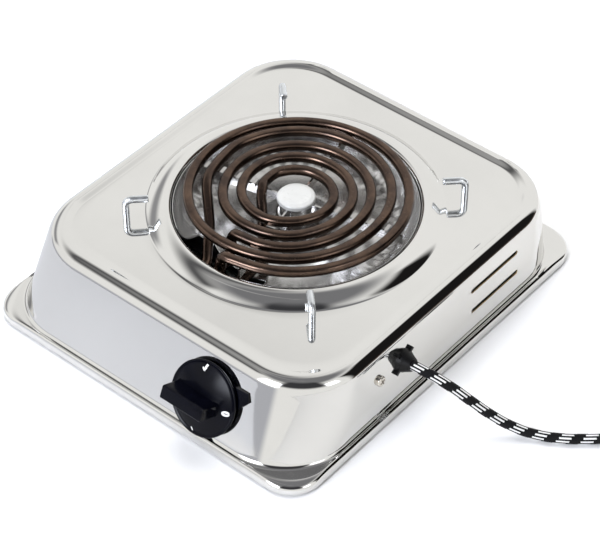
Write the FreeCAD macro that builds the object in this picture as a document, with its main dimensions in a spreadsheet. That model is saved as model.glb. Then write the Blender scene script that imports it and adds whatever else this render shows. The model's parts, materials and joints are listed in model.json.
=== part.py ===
import FreeCAD, Part

import math
import os

from FreeCAD import Placement, Rotation, Vector

# ---------------------------------------------------------------------------
# Single-burner electric hot plate.  Millimetres, +Z up, standing on Z = 0.
# The knob face is towards -Y and the cord leaves the +X wall.
# ---------------------------------------------------------------------------

DIMENSIONS = {
    # housing: one pressed sheet, with a lip round its foot
    "centre_y": 4.2125,
    "sheet": 0.9,
    "lip_half_x": 136.0,
    "lip_half_y": 155.0,
    "lip_corner": 23.0,
    "lip_top": 8.5,
    "lip_round": 1.6,
    "skirt_bottom": 1.2,
    "foot_half_x": 132.0,
    "foot_back": 149.8,
    "foot_front": 151.5,
    "foot_corner": 52.0,
    "top_half_x": 127.7,
    "top_back": 145.5,
    "top_front": 126.273,
    "top_level": 62.6,
    "top_round": 9.5,
    # sunken panel in the top
    "panel_half_x": 116.5,
    "panel_back": 134.5,
    "panel_front": 117.0,
    "panel_corner": 37.0,
    "panel_step": 1.4,
    # raised ring and burner well
    "burner_x": -1.5,
    "burner_y": 9.5,
    "ring_radius": 101.1,
    "ring_shoulder": 89.5,
    "ring_height": 6.0,
    "ring_round": 4.5,
    "well_radius": 84.4,
    "collar_depth": 11.0,
    # reflector dish
    "dish_radius": 83.4,
    "dish_top": 65.0,
    "dish_floor": 43.0,
    "dish_floor_radius": 66.0,
    "dish_sheet": 0.6,
    "boss_foot": 26.0,
    "boss_radius": 13.5,
    "boss_top": 59.0,
    # heating elements
    "tube_diameter": 7.0,
    "coil_level": 71.8,
    "lead_level": 50.5,
    # spider and centre
    "arm_height": 7.0,
    "arm_sheet": 1.4,
    "arm_reach": 79.5,
    "arm_turn": 12.0,
    "cap_radius": 13.0,
    "stud_diameter": 5.0,
    # pot rests
    "rest_wire": 5.0,
    "rest_circle": 114.6,
    "rest_height": 15.0,
    "rest_arm": 15.5,
    "rest_bend": 5.0,
    # knob face, switch and knob
    "face_tilt": 25.0,
    "knob_x": 50.5,
    "knob_z": 31.4,
    "bezel_radius": 22.0,
    "bezel_height": 1.2,
    "knob_radius": 26.0,
    "knob_gap": 0.4,
    "knob_height": 3.2,
    "grip_length": 35.0,
    "grip_width": 9.4,
    "grip_height": 18.0,
    "shaft_diameter": 6.0,
    "switch_side": 36.0,
    "switch_depth": 20.0,
    # cord side
    "cord_diameter": 6.8,
    "cord_y": -40.5,
    "cord_z": 38.4,
    "screw_y": -64.2,
    "screw_z": 38.2,
    # vent slots
    "slot_length": 52.0,
    "slot_height": 3.6,
    "slot_y": 59.2,
    "slot_low": 27.0,
    "slot_high": 44.0,
    # base plate and feet
    "base_level": 4.0,
    "base_sheet": 1.0,
    "base_gap": 0.7,
    "foot_radius": 9.0,
    "foot_inset_x": 104.0,
    "foot_inset_y": 122.0,
}

doc = FreeCAD.newDocument("hot_plate_burner")
sheet = doc.addObject("Spreadsheet::Sheet", "dims")
for row, (alias, value) in enumerate(DIMENSIONS.items(), start=1):
    sheet.set("A%d" % row, alias)
    sheet.set("B%d" % row, str(value))
    sheet.setAlias("B%d" % row, alias)
doc.recompute()

PIECES = []


def dim(alias):
    """A driving dimension, read back from the spreadsheet."""
    return float(sheet.get(alias))


# ---------------------------------------------------------------------------
# Places
# ---------------------------------------------------------------------------

def spot(x, y, z):
    """A point given from the middle of the housing's foot."""
    return Vector(x, y + dim("centre_y"), z)


def burner_spot(radius, angle, z):
    """A point given as radius and angle round the burner's axis."""
    turn = math.radians(angle)
    x = dim("burner_x") + radius * math.cos(turn)
    y = dim("burner_y") + radius * math.sin(turn)
    return spot(x, y, z)


def upright(x, y, z, turn=0.0):
    """Placement at a point of the housing, turned about +Z."""
    return Placement(spot(x, y, z), Rotation(Vector(0, 0, 1), turn))


def burner_place(z, turn=0.0):
    """Placement on the burner's axis."""
    return upright(dim("burner_x"), dim("burner_y"), z, turn)


def face_y(z):
    """Y of the knob face's outer side at height z, from the foot's middle."""
    return -dim("foot_front") + (z - dim("lip_top")) * math.tan(math.radians(dim("face_tilt")))


FACE_TURN = Rotation(Vector(1, 0, 0), 90.0 - dim("face_tilt"))


def face_place(u, v, out, spin=0.0):
    """Placement on the knob's axis system: u along +X, v up the face, out of it."""
    origin = spot(dim("knob_x"), face_y(dim("knob_z")), dim("knob_z"))
    place = Placement(origin, FACE_TURN)
    local = Placement(Vector(u, v, out), Rotation(Vector(0, 0, 1), spin))
    return place.multiply(local)


SIDE_DRAFT = math.degrees(math.atan2(dim("foot_half_x") - dim("top_half_x"),
                                     dim("top_level") - dim("lip_top")))
SIDE_TURN = Rotation(Vector(0, 1, 0), 90.0 - SIDE_DRAFT)


def side_place(y, z, out, spin=0.0):
    """Placement on the +X wall with its Z axis pointing straight out of it."""
    x = dim("foot_half_x") - (z - dim("lip_top")) * math.tan(math.radians(SIDE_DRAFT))
    local = Placement(Vector(0, 0, out), Rotation(Vector(0, 0, 1), spin))
    return Placement(spot(x, y, z), SIDE_TURN).multiply(local)


# ---------------------------------------------------------------------------
# Building blocks
# ---------------------------------------------------------------------------

def primitive(kind, name, place, **sizes):
    """A Part primitive whose sizes are expressions of the spreadsheet."""
    obj = doc.addObject("Part::" + kind, name)
    for size, expression in sizes.items():
        obj.setExpression(size, expression)
    obj.Placement = place
    return obj


def cylinder(name, place, radius, height):
    return primitive("Cylinder", name, place, Radius=radius, Height=height)


def box(name, place, length, width, height):
    return primitive("Box", name, place, Length=length, Width=width, Height=height)


def ring(name, place, outer, inner, height):
    """A flat ring or a tube: one cylinder cut by another."""
    hole_place = place.multiply(Placement(Vector(0, 0, -1), Rotation()))
    body = cylinder(name + "_outside", place, outer, height)
    hole = cylinder(name + "_inside", hole_place, inner, height + " + 2")
    return cut(name, body, hole)


def cut(name, base, tool):
    obj = doc.addObject("Part::Cut", name)
    obj.Base = base
    obj.Tool = tool
    return obj


def fuse(name, *shapes):
    obj = doc.addObject("Part::MultiFuse", name)
    obj.Shapes = list(shapes)
    return obj


def together(name, *shapes):
    """Loose identical pieces kept in one node as separate solids."""
    obj = doc.addObject("Part::Compound", name)
    obj.Links = list(shapes)
    return obj


def round_edges(name, base, radius, chosen):
    """Fillet the edges of base that the chosen test accepts."""
    doc.recompute()
    obj = doc.addObject("Part::Fillet", name)
    obj.Base = base
    picks = []
    for number, edge in enumerate(base.Shape.Edges, start=1):
        if chosen(edge):
            picks.append((number, radius, radius))
    if not picks:
        raise ValueError("no edge to round on " + name)
    obj.Edges = picks
    doc.recompute()
    return obj


def is_upright(edge):
    """Edges that climb: the plan corners of a tapered block."""
    return edge.BoundBox.ZLength > 0.5


def at_level(level):
    """Edges that lie flat at one height."""
    def test(edge):
        return edge.BoundBox.ZLength < 0.01 and abs(edge.BoundBox.ZMin - level) < 0.01
    return test


def far_rim(seat):
    """The round edge farthest along a seat's axis."""
    def test(edge):
        return seat.inverse().multVec(edge.CenterOfMass).z > 1
    return test


def piece(obj, label):
    """Name a finished sub-part: its label is its file's name."""
    obj.Label = label
    PIECES.append(obj)
    return obj


STRAIGHT = 0.002


def rounded_path(points, share=0.45):
    """Straight runs joined by tangent arcs, as one wire, and the arcs' radii.

    Each arc starts at `share` of the shorter of its two runs before its corner."""
    edges = []
    radii = []
    last = points[0]
    for before, corner, after in zip(points, points[1:], points[2:]):
        back = (before - corner)
        ahead = (after - corner)
        reach = share * min(back.Length, ahead.Length)
        back.normalize()
        ahead.normalize()
        half_turn = (math.pi - back.getAngle(ahead)) / 2
        if half_turn < STRAIGHT:
            continue
        radius = reach / math.tan(half_turn)
        start = corner + back * reach
        end = corner + ahead * reach
        inward = (back + ahead).normalize()
        middle = corner + inward * (radius / math.cos(half_turn) - radius)
        if (start - last).Length > 1e-6:
            edges.append(Part.LineSegment(last, start).toShape())
        edges.append(Part.Arc(start, middle, end).toShape())
        radii.append(radius)
        last = end
    edges.append(Part.LineSegment(last, points[-1]).toShape())
    return Part.Wire(edges), radii


def pipe(name, points, diameter, share=0.45):
    """A round tube or wire along a rounded path."""
    path, radii = rounded_path(points, share)
    heading = (points[1] - points[0]).normalize()
    profile = Part.Wire(Part.Circle(points[0], heading, diameter / 2).toShape())
    solid = path.makePipeShell([profile], True, False, 2)
    expected = math.pi * diameter ** 2 / 4 * path.Length
    if not solid.isValid() or abs(solid.Volume - expected) > 0.01 * expected:
        raise ValueError("pipe %s has the wrong volume" % name)
    obj = doc.addObject("Part::Feature", name)
    obj.Shape = solid
    obj.Placement = Placement()
    return obj, radii, path.Length


def tapered_block(name, half_x0, front0, back0, z0, half_x1, front1, back1, z1):
    """A block whose four walls lean in evenly, from outline 0 up to outline 1."""
    place = Placement(spot(0, 0, 0), Rotation(Vector(1, 0, 0), 90))
    return primitive("Wedge", name, place,
                     Xmin="-(%s)" % half_x0, Xmax=half_x0, Zmin="-(%s)" % back0, Zmax=front0,
                     X2min="-(%s)" % half_x1, X2max=half_x1, Z2min="-(%s)" % back1, Z2max=front1,
                     Ymin=z0, Ymax=z1)


# ---------------------------------------------------------------------------
# Housing
# ---------------------------------------------------------------------------

def housing_solid(name, inset, drop):
    """The housing's filled outer form, or with an inset its hollow."""
    lean = inset * math.tan(math.radians(45 - dim("face_tilt") / 2))
    walls = tapered_block(name + "_walls",
                          "dims.foot_half_x - %g" % inset,
                          "dims.foot_front - %g" % lean,
                          "dims.foot_back - %g" % inset, "dims.lip_top - %g" % drop,
                          "dims.top_half_x - %g" % inset,
                          "dims.top_front - %g" % lean,
                          "dims.top_back - %g" % inset, "dims.top_level - %g" % drop)
    corners = round_edges(name + "_corners", walls, dim("foot_corner") - inset - 2.5, is_upright)
    crown = round_edges(name + "_crown", corners, dim("top_round") - inset,
                        at_level(dim("top_level") - drop))
    return crown


def lip_solid(name, inset, low, high):
    """The slab round the foot, or with an inset its hollow."""
    side = inset * 2
    slab = box(name + "_slab",
               upright(inset - dim("lip_half_x"), inset - dim("lip_half_y"), low),
               "dims.lip_half_x * 2 - %g" % side, "dims.lip_half_y * 2 - %g" % side, "%g" % (high - low))
    corners = round_edges(name + "_corners", slab, dim("lip_corner") - inset, is_upright)
    return round_edges(name + "_edge", corners, max(dim("lip_round") - inset, 0.5), at_level(high))


def panel_tool(name, grow, drop):
    """What is pressed down out of the top to leave the sunken panel."""
    slope = dim("panel_step") * 1.8
    tool = tapered_block(name + "_block",
                         "dims.panel_half_x - %g" % (slope - grow),
                         "dims.panel_front - %g" % (slope - grow),
                         "dims.panel_back - %g" % (slope - grow),
                         "dims.top_level - dims.panel_step - %g" % drop,
                         "dims.panel_half_x + %g" % (slope + grow),
                         "dims.panel_front + %g" % (slope + grow),
                         "dims.panel_back + %g" % (slope + grow),
                         "dims.top_level + dims.panel_step - %g" % drop)
    return round_edges(name, tool, dim("panel_corner"), is_upright)


def ring_solid(name, inset):
    """The raised ring round the well, or with an inset its hollow."""
    foot = dim("top_level") - dim("panel_step") - inset
    cone = primitive("Cone", name + "_cone", burner_place(foot),
                     Radius1="dims.ring_radius - %g" % (inset * 0.4),
                     Radius2="dims.ring_shoulder - %g" % (inset * 0.4),
                     Height="dims.ring_height")
    return round_edges(name, cone, dim("ring_round") - inset, at_level(foot + dim("ring_height")))


def make_housing():
    gauge = dim("sheet")
    outer_walls = cut("outer_walls", housing_solid("outer", 0.0, 0.0), panel_tool("outer_panel", 0.0, 0.0))
    inner_walls = cut("inner_walls", housing_solid("inner", gauge, gauge),
                      panel_tool("inner_panel", gauge, gauge))
    outside = fuse("outside", outer_walls,
                   lip_solid("outer_lip", 0.0, dim("skirt_bottom"), dim("lip_top")),
                   ring_solid("outer_ring", 0.0))
    inside = fuse("inside", inner_walls,
                  lip_solid("inner_lip", gauge, dim("skirt_bottom") - 1, dim("lip_top") - gauge),
                  ring_solid("inner_ring", gauge))
    shell = cut("shell", outside, inside)
    ring_top = dim("top_level") - dim("panel_step") + dim("ring_height")
    collar = cylinder("collar", burner_place(ring_top - dim("collar_depth")),
                      "dims.well_radius + dims.sheet", "dims.collar_depth - dims.sheet / 2")
    well = cylinder("well", burner_place(20), "dims.well_radius", "60")
    body = cut("pierced_top", fuse("shell_and_collar", shell, collar), well)
    holes = rest_holes() + slots()
    holes.append(cylinder("shaft_hole", face_place(0, 0, -5), "dims.shaft_diameter / 2 + 1.5", "10"))
    for side in (-1, 1):
        holes.append(cylinder("switch_hole_%d" % (side + 1), face_place(side * SWITCH_SCREW, 0, -5),
                              "1.7", "10"))
    holes.append(cylinder("cord_hole", side_place(dim("cord_y"), dim("cord_z"), -5), "6.6", "10"))
    holes.append(cylinder("clamp_hole", side_place(dim("screw_y"), dim("screw_z"), -5), "2.2", "10"))
    piece(cut("housing_shell", body, fuse("housing_holes", *holes)), "top_housing")


def rest_holes():
    """Holes in the panel for the pot rests' legs."""
    found = []
    for index in range(4):
        point = burner_spot(dim("rest_circle"), 45 + 90 * index, dim("top_level") - 6)
        found.append(cylinder("rest_hole_%d" % index, Placement(point, Rotation()),
                              "dims.rest_wire / 2 + 0.05", "12"))
    return found


def slots():
    """Two long round-ended vents in the +X wall."""
    found = []
    for index, level in enumerate((dim("slot_low"), dim("slot_high"))):
        place = side_place(dim("slot_y"), level, -5)
        offset = Placement(Vector(-dim("slot_height") / 2, -dim("slot_length") / 2, 0), Rotation())
        bar = box("slot_bar_%d" % index, place.multiply(offset), "dims.slot_height",
                  "dims.slot_length", "10")
        found.append(round_edges("slot_%d" % index, bar, dim("slot_height") * 0.49,
                                 lambda edge: edge.Length > 9.9 and edge.Length < 10.1))
    return found


# ---------------------------------------------------------------------------
# Base: plate, brackets, screws and feet
# ---------------------------------------------------------------------------

FOOT_NAMES = {(-1, -1): "foot_front_left", (1, -1): "foot_front_right",
              (-1, 1): "foot_back_left", (1, 1): "foot_back_right"}


def corner_signs():
    return FOOT_NAMES.keys()


def make_base():
    gap = dim("sheet") + dim("base_gap")
    slab = box("base_slab", upright(gap - dim("lip_half_x"), gap - dim("lip_half_y"), dim("base_level")),
               "(dims.lip_half_x - dims.sheet - dims.base_gap) * 2",
               "(dims.lip_half_y - dims.sheet - dims.base_gap) * 2", "dims.base_sheet")
    plate = round_edges("base_outline", slab, dim("lip_corner") - gap, is_upright)
    holes = [cylinder("base_centre_hole", burner_place(0), "dims.stud_diameter / 2 + 0.2", "10")]
    for number, (sx, sy) in enumerate(corner_signs()):
        foot = upright(sx * dim("foot_inset_x"), sy * dim("foot_inset_y"), 0)
        holes.append(cylinder("base_foot_hole_%d" % number, foot, "2.1", "10"))
        holes.append(cylinder("base_tab_hole_%d" % number, tab_place(sx, sy, 0), "1.9", "10"))
    for row in range(-3, 4):
        for side in (-1, 1):
            place = upright(side * 48 - 24, row * 24 - 3, 0)
            holes.append(box("base_vent_%d_%d" % (row + 3, side + 1), place, "48", "5", "10"))
    piece(cut("base_pierced", plate, fuse("base_holes", *holes)), "base_plate")


TAB_X = 121.4
TAB_Y = 62.0


def tab_place(sx, sy, z):
    """Where a base screw passes up into its bracket."""
    return upright(sx * TAB_X, sy * TAB_Y, z)


def make_brackets_and_screws():
    """L-shaped tabs welded inside the side walls, and the screws that pull the base up to them."""
    top = dim("base_level") + dim("base_sheet")
    tabs = []
    screws = []
    for number, (sx, sy) in enumerate(corner_signs()):
        wall = dim("foot_half_x") - dim("sheet") - 0.9
        foot = box("tab_foot_%d" % number,
                   upright(min(sx * wall, sx * (wall - 15)), sy * TAB_Y - 8, top), "15", "16", "1.2")
        riser = box("tab_riser_%d" % number,
                    upright(min(sx * wall, sx * (wall - 1.2)), sy * TAB_Y - 8, top), "1.2", "16", "7")
        hole = cylinder("tab_hole_%d" % number, tab_place(sx, sy, 0), "1.5", "12")
        tabs.append(cut("tab_%d" % number, fuse("tab_solid_%d" % number, foot, riser), hole))
        head = cylinder("base_screw_head_%d" % number, tab_place(sx, sy, dim("base_level") - 2.0),
                        "3.4", "2.0")
        shank = cylinder("base_screw_shank_%d" % number, tab_place(sx, sy, dim("base_level") - 1.0),
                         "1.45", "8.5")
        screws.append(fuse("base_screw_%d" % number, head, shank))
    piece(together("tabs_together", *tabs), "base_brackets")
    piece(together("base_screws_together", *screws), "base_screws")


def make_feet():
    """Rubber feet under the base plate with a screw up through each."""
    screws = []
    for (sx, sy), name in FOOT_NAMES.items():
        centre = (sx * dim("foot_inset_x"), sy * dim("foot_inset_y"))
        pad = primitive("Cone", name + "_pad", upright(*centre, 0),
                        Radius1="dims.foot_radius - 1.2", Radius2="dims.foot_radius",
                        Height="dims.base_level")
        well = cylinder(name + "_well", upright(*centre, -1), "4.2", "2.8")
        hole = cylinder(name + "_hole", upright(*centre, -1), "2.1", "8")
        piece(cut(name + "_pierced", pad, fuse(name + "_bore", well, hole)), name)
        head = cylinder(name + "_screw_head", upright(*centre, 0.6), "3.7", "1.2")
        shank = cylinder(name + "_screw_shank", upright(*centre, 1.0), "1.9", "8.5")
        nut = primitive("Prism", name + "_nut", upright(*centre, dim("base_level") + dim("base_sheet")),
                        Circumradius="4.0", Height="3.0")
        nut_hole = cylinder(name + "_nut_hole", upright(*centre, 0), "1.9", "12")
        threaded = cut(name + "_nut_bored", nut, nut_hole)
        screws.append(fuse(name + "_screw", head, shank))
        screws.append(threaded)
    piece(together("foot_screws_together", *screws), "foot_screws")


# ---------------------------------------------------------------------------
# Burner well: dish, spider, cap and centre stud
# ---------------------------------------------------------------------------

def revolved(name, outline, place):
    """A solid turned about the local Z axis from an outline of (radius, height)."""
    body = doc.addObject("PartDesign::Body", name)
    sketch = body.newObject("Sketcher::SketchObject", name + "_outline")
    plane = [o for o in body.Origin.OriginFeatures if o.Role == "XZ_Plane"][0]
    sketch.AttachmentSupport = [(plane, "")]
    sketch.MapMode = "FlatFace"
    corners = [Vector(radius, height, 0) for radius, height in outline]
    for start, end in zip(corners, corners[1:] + corners[:1]):
        sketch.addGeometry(Part.LineSegment(start, end))
    turn = body.newObject("PartDesign::Revolution", name + "_turned")
    turn.Profile = sketch
    turn.ReferenceAxis = (sketch, ["V_Axis"])
    turn.Angle = 360
    body.Placement = place
    return body


def make_dish():
    """Thin bright bowl under the coil, notched towards the knob for the coil's ends."""
    gauge = dim("dish_sheet")
    top = dim("dish_top")
    floor = dim("dish_floor")
    upper = [(dim("dish_radius") - gauge, top), (dim("dish_radius") - 3.5, floor + 13),
             (dim("dish_floor_radius") + 7, floor + 4), (dim("dish_floor_radius"), floor),
             (dim("boss_foot"), floor), (dim("boss_foot") - 5, floor + 4),
             (dim("boss_radius"), dim("boss_top") - 1), (dim("boss_radius") - 1.5, dim("boss_top")),
             (dim("stud_diameter") / 2 + 0.3, dim("boss_top"))]
    lower = [(upper[-1][0], dim("boss_top") - gauge), (dim("boss_radius") - 1.8, dim("boss_top") - gauge),
             (dim("boss_radius") - 0.6, dim("boss_top") - 1.4), (dim("boss_foot") - 5.5, floor + 3.6),
             (dim("boss_foot") - 0.3, floor - gauge), (dim("dish_floor_radius") + 0.2, floor - gauge),
             (dim("dish_floor_radius") + 7.5, floor + 3.5), (dim("dish_radius") - 2.9, floor + 12.8),
             (dim("dish_radius"), top)]
    bowl = revolved("dish_bowl", upper + lower, burner_place(0))
    gap_place = burner_place(0).multiply(Placement(Vector(-44, -95, floor + 2.2), Rotation()))
    notch = box("dish_notch", gap_place, "64", "45", "30")
    piece(cut("dish_notched", bowl, notch), "reflector_dish")


RING_PITCH = 12.4
CLIP_THICK = 2.4
CLIP_WIDE = 6.4
CLIP_TALL = 3.2
CLIP_RADII = (31.4, 43.8, 56.2, 68.6)
CLIP_RADII_FRONT = (35.2, 59.6)


def make_spider():
    """Four strips on edge, with a clip tab standing between each pair of turns."""
    arm_top = dim("coil_level") - dim("tube_diameter") / 2
    low = arm_top - dim("arm_height")
    hub = cylinder("spider_hub", burner_place(low), "11.5", "dims.arm_height")
    strips = [hub]
    clips = []
    for index in range(4):
        turn = dim("arm_turn") + 90 * index
        place = burner_place(low, turn)
        offset = Placement(Vector(8, -dim("arm_sheet") / 2, 0), Rotation())
        strips.append(box("spider_arm_%d" % index, place.multiply(offset),
                          "dims.arm_reach - 8", "dims.arm_sheet", "dims.arm_height"))
        radii = CLIP_RADII_FRONT if index == 3 else CLIP_RADII
        for step, radius in enumerate(radii):
            seat = Vector(radius - CLIP_THICK / 2, -CLIP_WIDE / 2, dim("arm_height") + 0.05)
            tab = place.multiply(Placement(seat, Rotation()))
            clips.append(box("clip_%d_%d" % (index, step), tab, "%g" % CLIP_THICK, "%g" % CLIP_WIDE,
                             "%g" % CLIP_TALL))
    hole = cylinder("spider_hole", burner_place(low - 1), "dims.stud_diameter / 2 + 0.1", "12")
    piece(cut("spider_bored", fuse("spider_solid", *strips), hole), "coil_spider")
    piece(together("clips_together", *clips), "coil_clips")


def make_centre():
    """Stud from the cap to the base plate, with the spacer, nuts and washer on it."""
    hub_top = dim("coil_level") - dim("tube_diameter") / 2
    cap = revolved("cap_turned",
                   [(0, hub_top + 4.2), (dim("cap_radius") - 3, hub_top + 3.9),
                    (dim("cap_radius") - 0.6, hub_top + 3.1), (dim("cap_radius"), hub_top + 2.4),
                    (dim("cap_radius"), hub_top), (0, hub_top)], burner_place(0))
    piece(cap, "centre_cap")
    stud_low = 2.4
    piece(cylinder("stud_rod", burner_place(stud_low), "dims.stud_diameter / 2",
                   "%g" % (hub_top - stud_low)), "centre_stud")
    hub_low = hub_top - dim("arm_height")
    boss_top = dim("boss_top")
    base_top = dim("base_level") + dim("base_sheet")
    piece(ring("hub_collar_ring", burner_place(boss_top), "7.0", "dims.stud_diameter / 2 + 0.05",
               "%g" % (hub_low - boss_top)), "spider_washer")
    piece(ring("spacer_ring", burner_place(base_top), "5.0", "dims.stud_diameter / 2 + 0.05",
               "%g" % (boss_top - dim("dish_sheet") - base_top)), "centre_spacer")
    nut = primitive("Prism", "centre_nut_hex", burner_place(1.0), Circumradius="5.4",
                    Height="dims.base_level - 1.0")
    nut_bore = cylinder("centre_nut_bore", burner_place(0), "dims.stud_diameter / 2", "5")
    piece(cut("centre_nut_bored", nut, nut_bore), "centre_nut")


# ---------------------------------------------------------------------------
# Heating elements
# ---------------------------------------------------------------------------

STEPS_PER_TURN = 20


def ease(value):
    """Smooth step from 0 to 1."""
    value = min(max(value, 0.0), 1.0)
    return value * value * (3 - 2 * value)


def turns(first_radius, start, finish, drift):
    """Points round the burner from angle start to finish, at the coil's level.

    Each turn holds its radius and closes in by one pitch between 195 and 330 degrees,
    and hand winding leaves it `drift` off centre towards the back left."""
    points = []
    count = round((finish - start) / 360 * STEPS_PER_TURN)
    for step in range(count + 1):
        angle = start + (finish - start) * step / count
        inward = 0.0
        for lap in range(3):
            inward += ease((angle - 195 - 360 * lap) / 135)
        radius = first_radius - RING_PITCH * inward
        radius += drift * math.cos(math.radians(angle - 135))
        points.append(burner_spot(radius, angle, dim("coil_level")))
    return points


def from_burner(*points):
    """Points given as (x, y, z) from the burner's axis."""
    return [spot(x + dim("burner_x"), y + dim("burner_y"), z) for x, y, z in points]


def make_elements():
    """Outer element of two turns and inner one of three; their ends dip towards the knob."""
    high = dim("coil_level")
    low = dim("lead_level")
    exit_y = -87.0
    outer = from_burner((2.5, exit_y, low), (2.5, -76.5, low), (3.0, -76.0, high - 1.0),
                        (11.5, -75.6, high))
    outer += turns(75.6, -72, 552, 0.9)
    outer += from_burner((-54.0, -31.0, high - 1.0), (-45.5, -40.0, high - 7.0), (-34.5, -52.0, low + 6.0),
                         (-25.0, -62.5, low), (-16.0, -73.0, low), (-14.5, -80.0, low),
                         (-14.5, exit_y, low))
    inner = from_burner((-6.0, exit_y, low), (-6.0, -55.5, low), (-5.5, -55.0, high - 1.0),
                        (3.0, -54.6, high))
    inner += turns(50.6, -78, 912, 0.6)
    inner += from_burner((-20.6, -11.6, high - 0.3), (-15.2, -17.0, high - 4.6),
                         (-9.2, -23.6, low + 7.0), (-2.5, -31.0, low + 0.5), (6.0, -40.0, low),
                         (11.0, -48.0, low), (11.0, -60.0, low), (11.0, exit_y, low))
    for name, points in (("outer_coil", outer), ("inner_coil", inner)):
        tube, radii, length = pipe(name + "_tube", points, dim("tube_diameter"), 0.49)
        print("%s: length %.0f mm, smallest bend %.1f mm" % (name, length, min(radii)))
        piece(tube, name)


TERMINAL_X = {"coil_end_b": -14.5, "coil_end_c": -6.0, "coil_end_d": 2.5, "coil_end_a": 11.0}


def make_terminals():
    """Ceramic block with a pin of each element in it, and a brass screw over each pin."""
    start = -87.0
    level = dim("lead_level")
    pins = []
    bores = []
    screws = []
    for name, x in TERMINAL_X.items():
        point = from_burner((x, start, level))[0]
        place = Placement(point, Rotation(Vector(1, 0, 0), 90))
        pins.append(cylinder(name + "_pin", place, "1.6", "17"))
        bores.append(cylinder(name + "_bore", place, "1.65", "22"))
        head = Placement(from_burner((x, start - 11, level + 1.7))[0], Rotation())
        screws.append(cylinder(name + "_screw", head, "2.2", "4.6"))
        bores.append(cylinder(name + "_screw_bore", head, "2.3", "8"))
    corner = Placement(from_burner((-20.5, start - 17, level - 6))[0], Rotation())
    block = box("terminal_body", corner, "37.5", "12", "10")
    piece(cut("terminal_pierced", block, fuse("terminal_bores", *bores)), "terminal_block")
    piece(together("pins_together", *pins), "coil_pins")
    piece(together("terminal_screws_together", *screws), "terminal_screws")


# ---------------------------------------------------------------------------
# Pot rests
# ---------------------------------------------------------------------------

def make_pot_rests():
    """Bent wires: a leg up through the panel, a bend, and an arm in over the ring."""
    names = ("back_right", "back_left", "front_left", "front_right")
    level = dim("top_level") - dim("panel_step")
    bend = dim("rest_bend")
    tail = 7.0
    nuts = []
    for index, name in enumerate(names):
        turn = 45 + 90 * index
        foot = burner_place(level, turn).multiply(Placement(Vector(dim("rest_circle"), 0, 0), Rotation()))
        low = foot.multiply(Placement(Vector(0, 0, -tail), Rotation()))
        leg = cylinder("rest_leg_%d" % index, low, "dims.rest_wire / 2",
                       "dims.rest_height - dims.rest_bend + %g" % tail)
        centre = foot.multiply(Placement(Vector(-bend, 0, dim("rest_height") - bend),
                                         Rotation(Vector(1, 0, 0), 90)))
        elbow = primitive("Torus", "rest_elbow_%d" % index, centre, Radius1="dims.rest_bend",
                          Radius2="dims.rest_wire / 2", Angle3="90")
        arm_start = foot.multiply(Placement(Vector(-bend, 0, dim("rest_height")),
                                            Rotation(Vector(0, 1, 0), -90)))
        arm = cylinder("rest_arm_%d" % index, arm_start, "dims.rest_wire / 2",
                       "dims.rest_arm - dims.rest_bend")
        piece(fuse("rest_%d" % index, leg, elbow, arm), "pot_rest_" + name)
        nut_place = foot.multiply(Placement(Vector(0, 0, -dim("sheet") - 3.2), Rotation()))
        hexagon = primitive("Prism", "rest_hex_%d" % index, nut_place, Circumradius="4.8", Height="3.2")
        bore_place = foot.multiply(Placement(Vector(0, 0, -dim("sheet") - 5), Rotation()))
        bore = cylinder("rest_nut_bore_%d" % index, bore_place, "dims.rest_wire / 2", "6")
        nuts.append(cut("rest_nut_%d" % index, hexagon, bore))
    piece(together("rest_nuts_together", *nuts), "pot_rest_nuts")


# ---------------------------------------------------------------------------
# Knob, index ring and rotary switch
# ---------------------------------------------------------------------------

SWITCH_SCREW = 16.0
MARK_LEVEL = 0.25
POINTER_TURN = 27.0


def make_index_ring():
    """Black ring behind the knob with a pointer towards the cord side."""
    disc = cylinder("index_disc", face_place(0, 0, 0.02), "dims.bezel_radius", "dims.bezel_height")
    ahead = Placement(Vector(20, 0, 0), Rotation(Vector(0, 0, 1), -90))
    pointer = primitive("Wedge", "index_pointer", face_place(0, 0, 0.02, POINTER_TURN).multiply(ahead),
                        Xmin="-9.5", Xmax="9.5", Zmin="0", Zmax="dims.bezel_height + 1.2",
                        X2min="-3.1", X2max="3.1", Z2min="0", Z2max="dims.bezel_height + 0.2",
                        Ymin="0", Ymax="14.2")
    bore = cylinder("index_bore", face_place(0, 0, -1), "dims.shaft_diameter / 2 + 1.5", "6")
    body = fuse("index_body", disc, pointer)
    swept = cylinder("index_swept", face_place(0, 0, dim("bezel_height")), "dims.knob_radius + 0.6", "6")
    wells = [bore, swept]
    for side in (-1, 1):
        wells.append(cylinder("index_screw_hole_%d" % (side + 1), face_place(side * SWITCH_SCREW, 0, -1),
                              "2.8", "6"))
    piece(cut("index_bored", body, fuse("index_wells", *wells)), "index_ring")


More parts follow.
